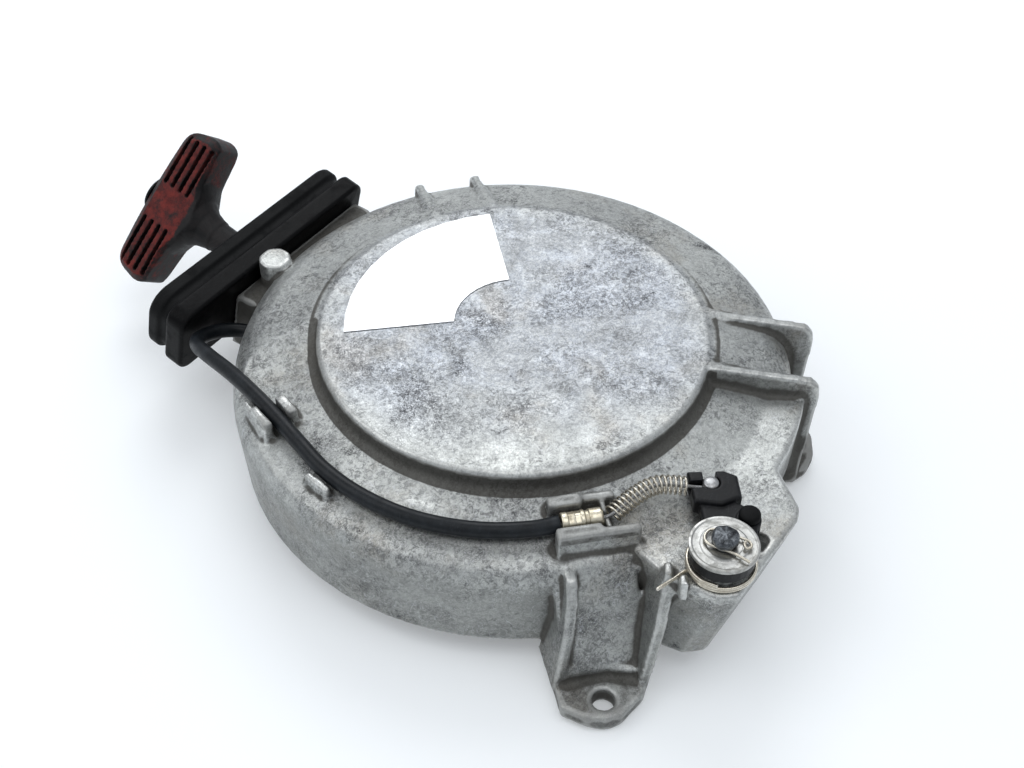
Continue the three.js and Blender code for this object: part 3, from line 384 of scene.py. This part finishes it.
ALLOY = cast_alloy()
NICKEL = bare_metal("nickel_wire", srgb(214, 208, 194), srgb(128, 114, 92), 0.24, 0.4, 1600)
ZINC = bare_metal("zinc_plate", srgb(182, 182, 179), srgb(112, 110, 103), 0.32, 0.5, 1200)
BRASSY = bare_metal("passivated_ferrule", srgb(214, 207, 188), srgb(136, 120, 90), 0.28, 0.5, 1100)
STEEL = bare_metal("plain_steel", srgb(172, 173, 174), srgb(96, 90, 82), 0.36, 0.6, 1000)
DARK_STEEL = bare_metal("rough_shaft_steel", srgb(112, 116, 120), srgb(34, 35, 37), 0.38, 0.9, 420)
SPRING_STEEL = bare_metal("blued_spring_steel", srgb(112, 114, 120), srgb(58, 54, 52), 0.34, 0.6, 900)
BRONZE = bare_metal("sintered_bronze", srgb(196, 154, 92), srgb(112, 78, 40), 0.4, 0.6, 800)
SATIN = black_polymer("satin_black_frame", srgb(5, 5, 6), srgb(40, 40, 40), 0.4, 0.06, shine=0.08)
PLASTIC = black_polymer("moulded_black", srgb(9, 10, 12), srgb(58, 60, 64), 0.4, 0.14)
RUBBER = black_polymer("matt_black_rubber", srgb(7, 8, 9), srgb(36, 37, 38), 0.6, 0.08, 0.0001, 0.14)
SHEATH = black_polymer("cable_sheath", srgb(14, 17, 20), srgb(54, 59, 64), 0.36, 0.16)
REEL_NYLON = black_polymer("reel_nylon", srgb(36, 37, 39), srgb(84, 82, 78), 0.5, 0.3)
RED = worn_red()
FOIL = label_foil()
ROPE = rope_fibre()


# ---- Mesh tools
def new_piece(name, mesh, material, body, nodes):
    """Adds a mesh as a piece that wears material, stands for those CAD nodes, and rides on body.

    A piece with no body is left unattached."""
    piece = bpy.data.objects.new(name, mesh)
    scene.collection.objects.link(piece)
    mesh.materials.clear()
    mesh.materials.append(material)
    mesh.shade_smooth()
    if body:
        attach(piece, body)
    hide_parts(*nodes)
    return piece


def baked(piece):
    """Applies the piece's modifiers to its mesh."""
    bpy.context.view_layer.update()
    shown = piece.evaluated_get(bpy.context.evaluated_depsgraph_get())
    mesh = bpy.data.meshes.new_from_object(shown)
    piece.modifiers.clear()
    piece.data = mesh
    return mesh


def arrays(mesh):
    """Vertex places and normals in mm, and the pairs of vertices that share an edge."""
    n = len(mesh.vertices)
    co, no = np.empty(n * 3), np.empty(n * 3)
    pairs = np.empty(len(mesh.edges) * 2, dtype=np.int64)
    mesh.vertices.foreach_get("co", co)
    mesh.vertex_normals.foreach_get("vector", no)
    mesh.edges.foreach_get("vertices", pairs)
    return co.reshape(-1, 3) / MM, no.reshape(-1, 3), pairs.reshape(-1, 2)


def averaged(values, pairs, rounds):
    """Each row's values, averaged with its neighbours' over and over."""
    a, b = pairs.T
    n = len(values)
    degree = np.maximum(np.bincount(a, minlength=n) + np.bincount(b, minlength=n), 1)
    for _ in range(rounds):
        around = [np.bincount(a, v[b], n) + np.bincount(b, v[a], n) for v in values.T]
        values = np.stack(around, 1) / degree[:, None]
    return values


def store(mesh, name, values):
    attribute = mesh.attributes.get(name) or mesh.attributes.new(name, "FLOAT", "POINT")
    attribute.data.foreach_set("value", np.asarray(values, dtype=np.float32))


def mark_edges(mesh, rounds, sharpness):
    """Stores where the surface stands out (edge) or lies in (hollow) from what is around it."""
    co, no, pairs = arrays(mesh)
    out = ((co - averaged(co, pairs, rounds)) * no).sum(1) * sharpness
    store(mesh, "edge", np.clip(out, 0, 1))
    store(mesh, "hollow", np.clip(-out, 0, 1))
    return co, no


def refined(node, voxel, rounds, material, name=None, sharpness=2.0):
    """The CAD solid with the small rounds of a real part: fine voxels, smoothed a little."""
    source = frame["nodes"][node].data
    form = bmesh.new()
    form.from_mesh(source)
    bmesh.ops.remove_doubles(form, verts=form.verts, dist=1e-6)
    mesh = bpy.data.meshes.new(name or node)
    form.to_mesh(mesh)
    form.free()
    piece = new_piece((name or node) + "_piece", mesh, material, BODY_OF[node], [node])
    remesh = piece.modifiers.new("fine", "REMESH")
    remesh.mode = "VOXEL"
    remesh.voxel_size = voxel * MM
    soften = piece.modifiers.new("soften", "SMOOTH")
    soften.factor = 0.5
    soften.iterations = rounds
    mesh = baked(piece)
    mesh.materials.clear()
    mesh.materials.append(material)
    mesh.shade_smooth()
    mark_edges(mesh, 8, sharpness / voxel * 0.5)
    return piece


def lathe(name, profile, material, place, body, nodes, steps=96, wobble=None):
    """A turned part round the local Z of place. profile is (radius, height) in mm, closed if off the axis."""
    form = bmesh.new()
    rings = []
    for r, z in profile:
        ring = []
        for i in range(steps if r > 1e-6 else 1):
            a = math.tau * i / steps
            rr, zz = wobble(r, z, a) if wobble else (r, z)
            ring.append(form.verts.new((rr * math.cos(a) * MM, rr * math.sin(a) * MM, zz * MM)))
        rings.append(ring)
    loop = profile[0][0] > 1e-6 and profile[-1][0] > 1e-6
    for lower, upper in zip(rings, rings[1:] + (rings[:1] if loop else [])):
        for i in range(steps):
            j = (i + 1) % steps
            corners = [lower[i % len(lower)], lower[j % len(lower)]]
            corners += [upper[j % len(upper)], upper[i % len(upper)]]
            corners = [c for k, c in enumerate(corners) if c not in corners[:k]]
            if len(corners) > 2:
                form.faces.new(corners)
    bmesh.ops.recalc_face_normals(form, faces=form.faces)
    mesh = bpy.data.meshes.new(name)
    form.to_mesh(mesh)
    form.free()
    mesh.transform(place)
    piece = new_piece(name, mesh, material, body, nodes)
    mark_edges(mesh, 4, 3.0)
    return piece


def rounded(profile, radius, closed=True, steps=4):
    """The profile with each corner rounded, in the plane of the profile."""
    points = [Vector(p) for p in profile]
    n = len(points)
    out = []
    for i, p in enumerate(points):
        if not closed and i in (0, n - 1):
            out.append(tuple(p))
            continue
        before, after = points[i - 1] - p, points[(i + 1) % n] - p
        cut = min(radius, before.length * 0.45, after.length * 0.45)
        a, b = p + before.normalized() * cut, p + after.normalized() * cut
        for k in range(steps + 1):
            t = k / steps
            out.append(tuple((1 - t) ** 2 * a + 2 * t * (1 - t) * p + t * t * b))
    return out


def spline(points, step):
    """Points a step (mm) apart on a centripetal Catmull-Rom curve through the points."""
    p = [Vector(q) for q in points]
    p = [2 * p[0] - p[1], *p, 2 * p[-1] - p[-2]]
    fine = []
    for a, b, c, d in zip(p, p[1:], p[2:], p[3:]):
        t1 = (b - a).length ** 0.5
        t2 = t1 + (c - b).length ** 0.5
        t3 = t2 + (d - c).length ** 0.5
        for k in range(24):
            t = t1 + (t2 - t1) * k / 24
            a1 = a * ((t1 - t) / t1) + b * (t / t1)
            a2 = b * ((t2 - t) / (t2 - t1)) + c * ((t - t1) / (t2 - t1))
            a3 = c * ((t3 - t) / (t3 - t2)) + d * ((t - t2) / (t3 - t2))
            b1 = a1 * ((t2 - t) / t2) + a2 * (t / t2)
            b2 = a2 * ((t3 - t) / (t3 - t1)) + a3 * ((t - t1) / (t3 - t1))
            fine.append(b1 * ((t2 - t) / (t2 - t1)) + b2 * ((t - t1) / (t2 - t1)))
    fine.append(p[-2])
    return evenly(fine, step)


def evenly(fine, step):
    """The same line with its points about a step (mm) apart."""
    lengths = [0.0]
    for a, b in zip(fine, fine[1:]):
        lengths.append(lengths[-1] + (b - a).length)
    count = max(2, round(lengths[-1] / (step * MM)))
    out, i = [], 0
    for k in range(count + 1):
        want = lengths[-1] * k / count
        while i < len(fine) - 2 and lengths[i + 1] < want:
            i += 1
        gap = lengths[i + 1] - lengths[i]
        out.append(fine[i].lerp(fine[i + 1], (want - lengths[i]) / gap if gap else 0))
    return out


def transported(path):
    """For each point of the path, two directions square to it, carried along without twist."""
    frames, side = [], None
    for i, p in enumerate(path):
        along = (path[min(i + 1, len(path) - 1)] - path[max(i - 1, 0)]).normalized()
        if side is None:
            side = along.orthogonal().normalized()
        side = (side - along * side.dot(along)).normalized()
        frames.append((side, along.cross(side)))
    return frames


def sweep(form, path, section, dome=True):
    """Adds a tube along path to a bmesh. section(s, a) gives the radius in mm at s mm along it."""
    sides = section.sides
    frames = transported(path)
    rings, s = [], 0.0
    for i, (p, (u, v)) in enumerate(zip(path, frames)):
        if i:
            s += (p - path[i - 1]).length / MM
        rings.append([
            form.verts.new(p + (u * math.cos(a) + v * math.sin(a)) * section(s, a) * MM)
            for a in (math.tau * k / sides for k in range(sides))
        ])
    for lower, upper in zip(rings, rings[1:]):
        for k in range(sides):
            form.faces.new((lower[k], lower[(k + 1) % sides], upper[(k + 1) % sides], upper[k]))
    for ring, tip, way in ((rings[0], path[0], -1), (rings[-1], path[-1], 1)):
        along = (path[-1] - path[-2]).normalized() if way > 0 else (path[1] - path[0]).normalized()
        reach = section(0, 0) * MM * (0.5 if dome else 0.04)
        inner = [form.verts.new(tip + (q.co - tip) * 0.8 + along * way * reach * 0.55) for q in ring]
        end = form.verts.new(tip + along * way * reach)
        for k in range(sides):
            j = (k + 1) % sides
            form.faces.new((ring[k], ring[j], inner[j], inner[k]))
            form.faces.new((inner[k], inner[j], end))


def round_section(radius, sides=16):
    def section(s, a):
        return radius
    section.sides = sides
    return section


def braid_section(radius, sides=24, pitch=9.0, depth=0.16):
    """A round braid: two sets of strands wind opposite ways and pass over each other in turn."""
    def section(s, a):
        one = math.cos(4 * a + math.tau * s / pitch)
        two = math.cos(4 * a - math.tau * s / pitch)
        return radius - depth + depth * max(one * 0.9, two)
    section.sides = sides
    return section


def swept(name, paths, section, material, body, nodes, dome=True, sharpness=3.0):
    form = bmesh.new()
    for path in paths:
        sweep(form, path, section, dome)
    bmesh.ops.recalc_face_normals(form, faces=form.faces)
    mesh = bpy.data.meshes.new(name)
    form.to_mesh(mesh)
    form.free()
    piece = new_piece(name, mesh, material, body, nodes)
    mark_edges(mesh, 4, sharpness)
    return piece


def helix(centre, radius, z0, z1, turns, start, per_turn=48):
    """Points of a coil about the vertical through centre; heights and radii in mm."""
    count = round(turns * per_turn)
    points = []
    for i in range(count + 1):
        t = i / count
        a = math.radians(start) + math.tau * turns * t
        z = z0 + (z1 - z0) * t
        points.append(at(centre[0] + radius * math.cos(a), centre[1] + radius * math.sin(a), z))
    return points


# ---- Control cable: the object holds it from its ferrule to its far fitting
CABLE_R = 3.3
CABLE_END = at(40.5, -112.5, 36)
CABLE_END_WAY = Vector((-0.34, 0.94, 0)).normalized()
CABLE_ROUTE = [
    on_anchor(-10.3, 0, CABLE_Z),
    *(at(*p) for p in (
        (78.6, 65.6, 61.4), (91.5, 48, 60.8), (101, 25, 60.6), (104, 2, 60.6), (102, -19, 60.8),
        (96.7, -37, 61.2), (90.6, -56, 61.4), (85.6, -73, 60.6), (81.4, -88, 58.8),
        (76.9, -104.5, 55.4), (72, -116, 51), (65.6, -122.4, 46.4), (57, -124.6, 42.2),
        (49, -123.4, 38.8), (43, -118.6, 36.6),
    )),
    CABLE_END + CABLE_END_WAY * 0.4 * MM,
]


def make_cable():
    path = spline(CABLE_ROUTE, 1.6)
    cable = swept("control_cable_sheath", [path], round_section(CABLE_R, 28), SHEATH, "housing",
                  ["control_cable"], dome=False)


make_cable()


# ---- Housing
def make_housing():
    casting = refined("housing", 0.9, 10, ALLOY, "housing_casting")
    mesh = casting.data
    co, no = mark_edges(mesh, 9, 2.6)
    x, y, z = co[:, 0], co[:, 1], co[:, 2] + DISC_Z
    r = np.hypot(x, y)
    steep = np.clip(1 - np.abs(no[:, 2]) * 1.15, 0, 1)
    turn = np.degrees(np.arctan2(y, x)) % 360

    def band(v, low, high, soft):
        return np.clip((v - low) / soft + 0.5, 0, 1) * np.clip((high - v) / soft + 0.5, 0, 1)

    grime_and_shade = 1.5 * band(r, 82.8, 86.6, 1.2) * band(z, 60.5, 68.6, 1)  # wall of the step
    grime_and_shade *= 1 - 0.75 * band(turn, 150, 270, 40)
    grime_and_shade = np.maximum(grime_and_shade, 0.9 * band(y, -170, -106, 5) * band(z, 0, 54, 2))  # oily bracket
    beside = band(r, 119, 150, 4) * band(turn, 112, 131, 3) * band(z, -2, 34, 6)
    grime_and_shade = np.maximum(grime_and_shade, beside)  # side foot: oily, and painted shade where it lies in shadow
    stands = band(r, 87, 130, 1) * (z > 62.2) * (turn > 330) + band(r, 87, 130, 1) * (z > 62.2) * (turn < 62)
    grime_and_shade = np.maximum(grime_and_shade, 0.62 * stands)  # clip, lugs and anchor
    far = band(turn, 100, 245, 6)
    grime_and_shade = np.maximum(grime_and_shade, 0.5 * far * steep * band(r, 84, 128, 4) * band(z, 20, 68, 2))
    front = band(turn, 36, 61, 3)
    grime_and_shade = np.maximum(grime_and_shade, 0.12 * front * band(r, 114, 136, 4) * band(z, 6, 52, 3))
    grime_and_shade = np.maximum(grime_and_shade, 0.55 * front * band(r, 134, 160, 3) * band(z, -2, 13, 3))  # front foot
    grime_and_shade = np.maximum(grime_and_shade, 0.34 * band(r, 106, 116, 5) * band(z, 50, 58, 3) * band(turn, 3, 46, 8))
    # steep outer walls darker: partly dirt, partly painted shade for the shadowed floor they reflect
    grime_and_shade = np.maximum(grime_and_shade, 0.24 * steep * band(r, 100, 124, 3) * band(z, 4, 56, 3))
    # undersides and the inside below the shelf darker: oily dirt, and painted shade under things
    inside = band(z, -2, 65.8, 0.6) * (no[:, 2] < -0.5) + (r < 117) * (z < 60) * (no[:, 2] < 0.3) * 0.5
    grime_and_shade = np.maximum(grime_and_shade, 0.3 * np.clip(inside, 0, 1))
    store(mesh, "grime_and_shade", grime_and_shade)
    # steep lower faces, darkened in the alloy's colour: partly dirt, partly painted shade
    store(mesh, "wall", steep * band(z, -2, 50, 6))
    clean = band(r, -5, 80, 18) * (z > 69) * band(x + 0.7 * y, -200, 60, 60)
    store(mesh, "clean", clean)


make_housing()


# ---- Label
refined("label", 0.22, 1, FOIL, "label_plate", sharpness=0.5)


# ---- Rope guide
refined("guide_frame", 0.6, 3, SATIN)
refined("guide_seal", 0.55, 4, RUBBER)
for n in (1, 2):
    refined(f"guide_screw_{n}", 0.22, 2, STEEL)
refined("rope_bush", 0.35, 2, ZINC)
refined("rope_roller", 0.35, 2, STEEL)
refined("roller_pin", 0.35, 2, STEEL)


# ---- Handle
def make_handle():
    grip = refined("handle", 0.5, 4, RED, "handle_grip")
    mesh = grip.data
    co, no, _ = arrays(mesh)
    local = (np.array(HANDLE.inverted()) @ np.c_[co * MM, np.ones(len(co))].T).T[:, :3] / MM
    turn = np.array(HANDLE.to_3x3().inverted())
    face = np.abs((turn @ no.T).T[:, 2])
    depth = local[:, 2]
    flat = np.clip((face - 0.75) / 0.2, 0, 1) * np.clip((np.abs(depth) - 10.6) / 0.8, 0, 1)
    grip_part = np.clip((local[:, 1] - 36) / 5, 0, 1)
    store(mesh, "painted", grip_part * (0.8 + 0.16 * flat))


make_handle()
refined("handle_cap", 0.35, 2, PLASTIC)


# ---- Rope: its turns on the reel, the run to the handle, and the knot
PITCH_R, ROPE_R, ROPE_Z, TAIL = 64.5, 2.5, 35.5, 27.4
GAP = 0.3  # air between touching pieces
ROPE_OFF = 4.5 + GAP + ROPE_R  # rope's centreline from the roller's axis
LEAVE = math.acos((PITCH_R + ROPE_OFF) / math.hypot(*ROLLER)) + math.atan2(ROLLER[1], ROLLER[0])
REEL_OFF = at(PITCH_R * math.cos(LEAVE), PITCH_R * math.sin(LEAVE), ROPE_Z)
ROPE_WAY = Vector((math.sin(LEAVE), -math.cos(LEAVE), 0))
ROLLER_Z = GUIDE_AT[2] + (GUIDE_AT[1] - ROLLER[1]) * GUIDE_OUT.z / -GUIDE_OUT.y


def make_rope():
    def ring(z, turns=0.992):
        return helix((0, 0), PITCH_R, z, z, turns, math.degrees(LEAVE) - 360 * turns, 200)

    coils = [ring(30.5), ring(40.5), ring(ROPE_Z, 0.985) + evenly([
        REEL_OFF + ROPE_WAY * 0.6 * MM, REEL_OFF + ROPE_WAY * TAIL * MM], 1)]
    swept("rope_turns", [evenly(c, 0.9) for c in coils], braid_section(ROPE_R - 0.05, 20), ROPE,
          "reel", ["rope_winding"], sharpness=6)

    def round_roller(turn):
        way = Vector((-math.cos(turn), -math.sin(turn), 0))
        return at(*ROLLER, ROLLER_Z) + way * (ROPE_OFF + 0.15) * MM

    start = REEL_OFF + ROPE_WAY * (TAIL + 28) * MM
    start.z = (ROPE_Z - 0.1 - DISC_Z) * MM
    route = [
        REEL_OFF + ROPE_WAY * (TAIL + GAP) * MM, start, round_roller(LEAVE) - ROPE_WAY * 14 * MM,
        round_roller(LEAVE), round_roller(LEAVE / 2), round_roller(0),
        on_guide(0, 0, -11), on_guide(0, 0, -6), on_guide(0, 0, 16), on_guide(0, 0, 48.7),
    ]
    run = swept("rope_run_braid", [spline(route, 0.5)], braid_section(ROPE_R - 0.02), ROPE, None,
                ["rope_run"], sharpness=6)
    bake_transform(run)


make_rope()
refined("rope_knot", 0.4, 3, ROPE)


# ---- Interlock on top
def turned_about_stop(name, profile, material, node, **more):
    place = Matrix.Translation(at(*STOP, 0))
    return lathe(name, profile, material, place, "interlock", [node], **more)


def make_interlock():
    refined("stop_lever", 0.4, 3, PLASTIC)
    button = rounded([(0, 62.4), (1.9, 62.4), (1.9, 65.9), (4.2, 65.9), (4.2, 68.4), (3.4, 69.2),
                      (1.8, 69.5), (0, 69.5)], 0.6, closed=False)
    lathe("button_dome", button, RUBBER, Matrix.Translation(at(*BUTTON, 0)), "interlock", ["lever_button"])
    washer = rounded([(4.3, 67.4), (13.3, 67.4), (13.3, 69), (12.2, 69.1), (11.8, 68.85), (9.2, 68.85),
                      (8.8, 69.1), (7, 69.1), (6.7, 68.9), (4.3, 68.9)], 0.25)
    turned_about_stop("washer_disc", washer, ZINC, "lever_washer", steps=128)

    def rough_head(r, z, a):
        k = math.sin(3 * a + 1) * 0.12 + math.sin(7 * a + 2.3) * 0.08
        return r + (k if r > 1 and z > 71 else 0), z + (k * 1.6 if z > 74 and r > 0.5 else 0)

    shaft = rounded([(0, 36.6), (3.9, 36.6), (3.9, 69.5), (3, 69.5), (3, 71.1), (5.1, 71.1), (5.2, 73.1),
                     (4.3, 74.3), (2.4, 74.8), (0, 74.8)], 0.35, closed=False)
    turned_about_stop("shaft_turned", shaft, DARK_STEEL, "stopper_shaft", wobble=rough_head)
    refined("stopper", 0.5, 2, STEEL)
    refined("stopper_collar", 0.35, 2, STEEL)
    clip = [(11.6, -5), (9, -4.4), (5, -3.75), (0, -3.7), (-4.4, -3.9), (-6.8, -2.6), (-7.6, 0), (-6.8, 2.6),
            (-4.4, 3.9), (0, 3.7), (5, 4.2), (8.2, 4), (9.6, 2), (8.2, 0.6), (6.8, 1.8), (7.2, 2.8)]
    turn = Matrix.Translation(at(*STOP, 70.3)) @ Matrix.Rotation(math.radians(98), 4, "Z")
    loop = [turn @ Vector((x * MM, y * MM, (0.9 if i > 13 else 0) * MM)) for i, (x, y) in enumerate(clip)]
    swept("hairpin_clip", [spline(loop, 0.3)], round_section(0.56, 14), NICKEL, "interlock",
          ["retaining_clip"])
    coil = helix(STOP, 12.9, 57.1, 59.9, 2.2, -40, 72)
    leg = [at(75, 116.2, 58.6), at(66.8, 118.4, 57.6)]
    swept("torsion_spring_wire", [spline(leg + coil[::6], 0.5)], round_section(0.72, 14), NICKEL,
          "housing", ["torsion_spring"])
    pin = [(0, 61.8), (3.3, 61.8), (3.3, 66), (2.9, 66.9), (1.7, 67.4), (0, 67.5)]
    lathe("nipple_pin", rounded(pin, 0.5, closed=False), STEEL, Matrix.Translation(at(*NIPPLE, 0)),
          "interlock", ["cable_nipple"])


make_interlock()


# ---- Ferrule, inner wire and the spring over it
def make_cable_end():
    place = ANCHOR @ Matrix.Translation((0, 0, CABLE_Z * MM)) @ Matrix.Rotation(math.pi / 2, 4, "Y")

    def crimped(r, z, a):
        flat = 0.16 * math.cos(6 * a) if r > 3 and -7.4 < z < -2.4 else 0
        return r + flat, z

    ferrule = [(1.2, -9.9), (3.8, -9.9), (4.1, -9.4), (4.1, -7.6), (3.75, -7.2), (3.75, -5.4), (3.95, -5),
               (3.75, -4.6), (3.75, -2.6), (4.1, -2.2), (4.1, -1), (3.6, -0.6), (3.6, 0.6), (4.1, 1),
               (4.1, 5.4), (3.5, 6.2), (2.4, 6.2), (2.1, 5.4), (1.2, 5.4)]
    lathe("ferrule_crimped", rounded(ferrule, 0.2), BRASSY, place, "housing", ["cable_ferrule"],
          wobble=crimped)
    refined("cable_end_fitting", 0.35, 2, ZINC)
    mouth = at(NIPPLE[0] + 3.5 * math.cos(PULL_TURN), NIPPLE[1] + 3.5 * math.sin(PULL_TURN), 64)
    route = [on_anchor(-8, 0, CABLE_Z), on_anchor(0, 0, CABLE_Z), on_anchor(9, 0, 62.4), *WIRE_BEND, mouth]
    path = spline(route, 0.4)
    frames = transported(path)
    strands = [path]
    for k in range(6):
        strand = []
        for i, (p, (u, v)) in enumerate(zip(path, frames)):
            a = math.tau * (k / 6 + i * 0.4 / 7)
            strand.append(p + (u * math.cos(a) + v * math.sin(a)) * 0.53 * MM)
        strands.append(strand)
    wire = swept("inner_wire_strands", strands, round_section(0.265, 8), STEEL, None, ["inner_wire"])

    turns, per_turn, coil_r = 17, 28, 3.5
    bend = spline([on_anchor(9.9, 0, 62.8), *WIRE_BEND, mouth], 0.1)
    bend = bend[: int(len(bend) * 0.86)]  # the spring ends short of the lever
    frames = transported(bend)
    coil = []
    for i in range(turns * per_turn + 1):
        t = i / (turns * per_turn)
        j = min(len(bend) - 1, round(t * (len(bend) - 1)))
        u, v = frames[j]
        a = math.tau * turns * t
        coil.append(bend[j] + (u * math.cos(a) + v * math.sin(a)) * coil_r * MM)
    spring = swept("return_spring_wire", [evenly(coil, 0.5)], round_section(0.45, 12), NICKEL, None,
                   ["return_spring"])
    # both ride on no body; their places are baked into their meshes
    for piece in (wire, spring):
        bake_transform(piece)


make_cable_end()


# ---- Below: reel, rewind spring, pawl and what holds them
def make_inside():
    refined("reel", 0.9, 2, REEL_NYLON)
    refined("reel_bush", 0.6, 1, BRONZE)
    refined("thrust_washer", 0.3, 1, STEEL)
    refined("plate_washer", 0.3, 1, STEEL)
    refined("pawl", 0.4, 2, STEEL)
    refined("pawl_pin", 0.35, 2, STEEL)
    refined("friction_plate", 0.35, 2, ZINC)
    refined("retaining_bolt", 0.4, 2, ZINC)
    coil = helix((0, 0), 8.4, 16.4, 19.1, 2.4, 0, 60)
    swept("friction_spring_wire", [coil], round_section(0.8, 12), NICKEL, "housing", ["friction_spring"])
    turn = Matrix.Translation(polar(38, 205, 0)) @ Matrix.Rotation(math.radians(205), 4, "Z")
    turn.translation.z = -DISC_Z * MM
    leg = [turn @ Vector((x * MM, y * MM, z * MM)) for x, y, z in ((13, 5, 22.4), (7, 5.2, 22.3))]
    small = [turn @ (Vector((4.6 * math.cos(a), 4.6 * math.sin(a), 22.3 + 0.9 * (a - 1.05) / 7.5)) * MM)
             for a in (math.radians(60) + math.tau * 1.2 * i / 30 for i in range(31))]
    swept("pawl_spring_wire", [spline(leg + small[::3], 0.3)], round_section(0.4, 10), NICKEL, "pawl",
          ["pawl_spring"])


def make_rewind_spring():
    """A flat strip with broken corners, wound outwards from the reel's hub."""
    turns, per_turn = 6, 72
    hub, growth = 17 + 1.6, 48
    form = bmesh.new()
    rings = []
    for i in range(turns * per_turn + 1):
        t = i / (turns * per_turn)
        a = math.tau * turns * t
        r = hub + growth * t
        ring = [(r, 48.1), (r, 56.9), (r + 0.1, 57), (r + 0.7, 57), (r + 0.8, 56.9), (r + 0.8, 48.1),
                (r + 0.7, 48), (r + 0.1, 48)]
        rings.append([form.verts.new(at(q * math.cos(a), q * math.sin(a), z)) for q, z in ring])
    corners = len(rings[0])
    for lower, upper in zip(rings, rings[1:]):
        for k in range(corners):
            j = (k + 1) % corners
            form.faces.new((lower[k], lower[j], upper[j], upper[k]))
    form.faces.new(rings[0])
    form.faces.new(rings[-1])
    bmesh.ops.recalc_face_normals(form, faces=form.faces)
    mesh = bpy.data.meshes.new("rewind_spring_strip")
    form.to_mesh(mesh)
    form.free()
    new_piece("rewind_spring_strip", mesh, SPRING_STEEL, "housing", ["rewind_spring"])
    mark_edges(mesh, 2, 1.0)


make_inside()
make_rewind_spring()


# ---- Floor, light and backdrop
def make_stage():
    form = bmesh.new()
    half = 3.0
    z = cad_box[0][2] - 0.0002  # just clear of the feet
    form.faces.new([form.verts.new((x * half, y * half, z)) for x, y in ((-1, -1), (1, -1), (1, 1), (-1, 1))])
    mesh = bpy.data.meshes.new("floor")
    form.to_mesh(mesh)
    form.free()
    floor = bpy.data.objects.new("floor", mesh)
    scene.collection.objects.link(floor)
    look = Look("pale_floor", srgb(226, 229, 231), 0.7, Emission_Color=(0.97, 0.99, 1, 1),
                Emission_Strength=0.22)
    mesh.materials.append(look.material)


def make_light():
    world = bpy.data.worlds.new("studio")
    scene.world = world
    world.use_nodes = True
    tree = world.node_tree
    background = tree.nodes["Background"]
    place = tree.nodes.new("ShaderNodeTexCoord")
    split = tree.nodes.new("ShaderNodeSeparateXYZ")
    tree.links.new(place.outputs["Generated"], split.inputs[0])
    ramp = tree.nodes.new("ShaderNodeValToRGB")
    tree.links.new(split.outputs["Z"], ramp.inputs[0])
    ramp.color_ramp.elements[0].position = 0.0
    ramp.color_ramp.elements[0].color = (0.38, 0.4, 0.43, 1)
    ramp.color_ramp.elements[1].position = 0.7
    ramp.color_ramp.elements[1].color = (0.66, 0.69, 0.73, 1)
    tree.links.new(ramp.outputs[0], background.inputs["Color"])
    background.inputs["Strength"].default_value = 1.0

    def area(name, place, size, energy, color=(1, 1, 1)):
        data = bpy.data.lights.new(name, "AREA")
        data.shape = "DISK"
        data.size = size
        data.energy = energy
        data.color = color
        light = bpy.data.objects.new(name, data)
        light.location = place
        light.rotation_mode = "QUATERNION"
        light.rotation_quaternion = (-Vector(place)).to_track_quat("-Z", "Y")
        scene.collection.objects.link(light)

    area("window", (-0.95, -0.75, 1.25), 1.1, 9, (0.97, 0.985, 1))
    area("fill", (0.9, -1.0, 1.3), 1.4, 7)
    area("top", (0.2, 0.5, 1.7), 1.2, 5)
    scene.view_settings.view_transform = "Standard"


make_stage()
make_light()
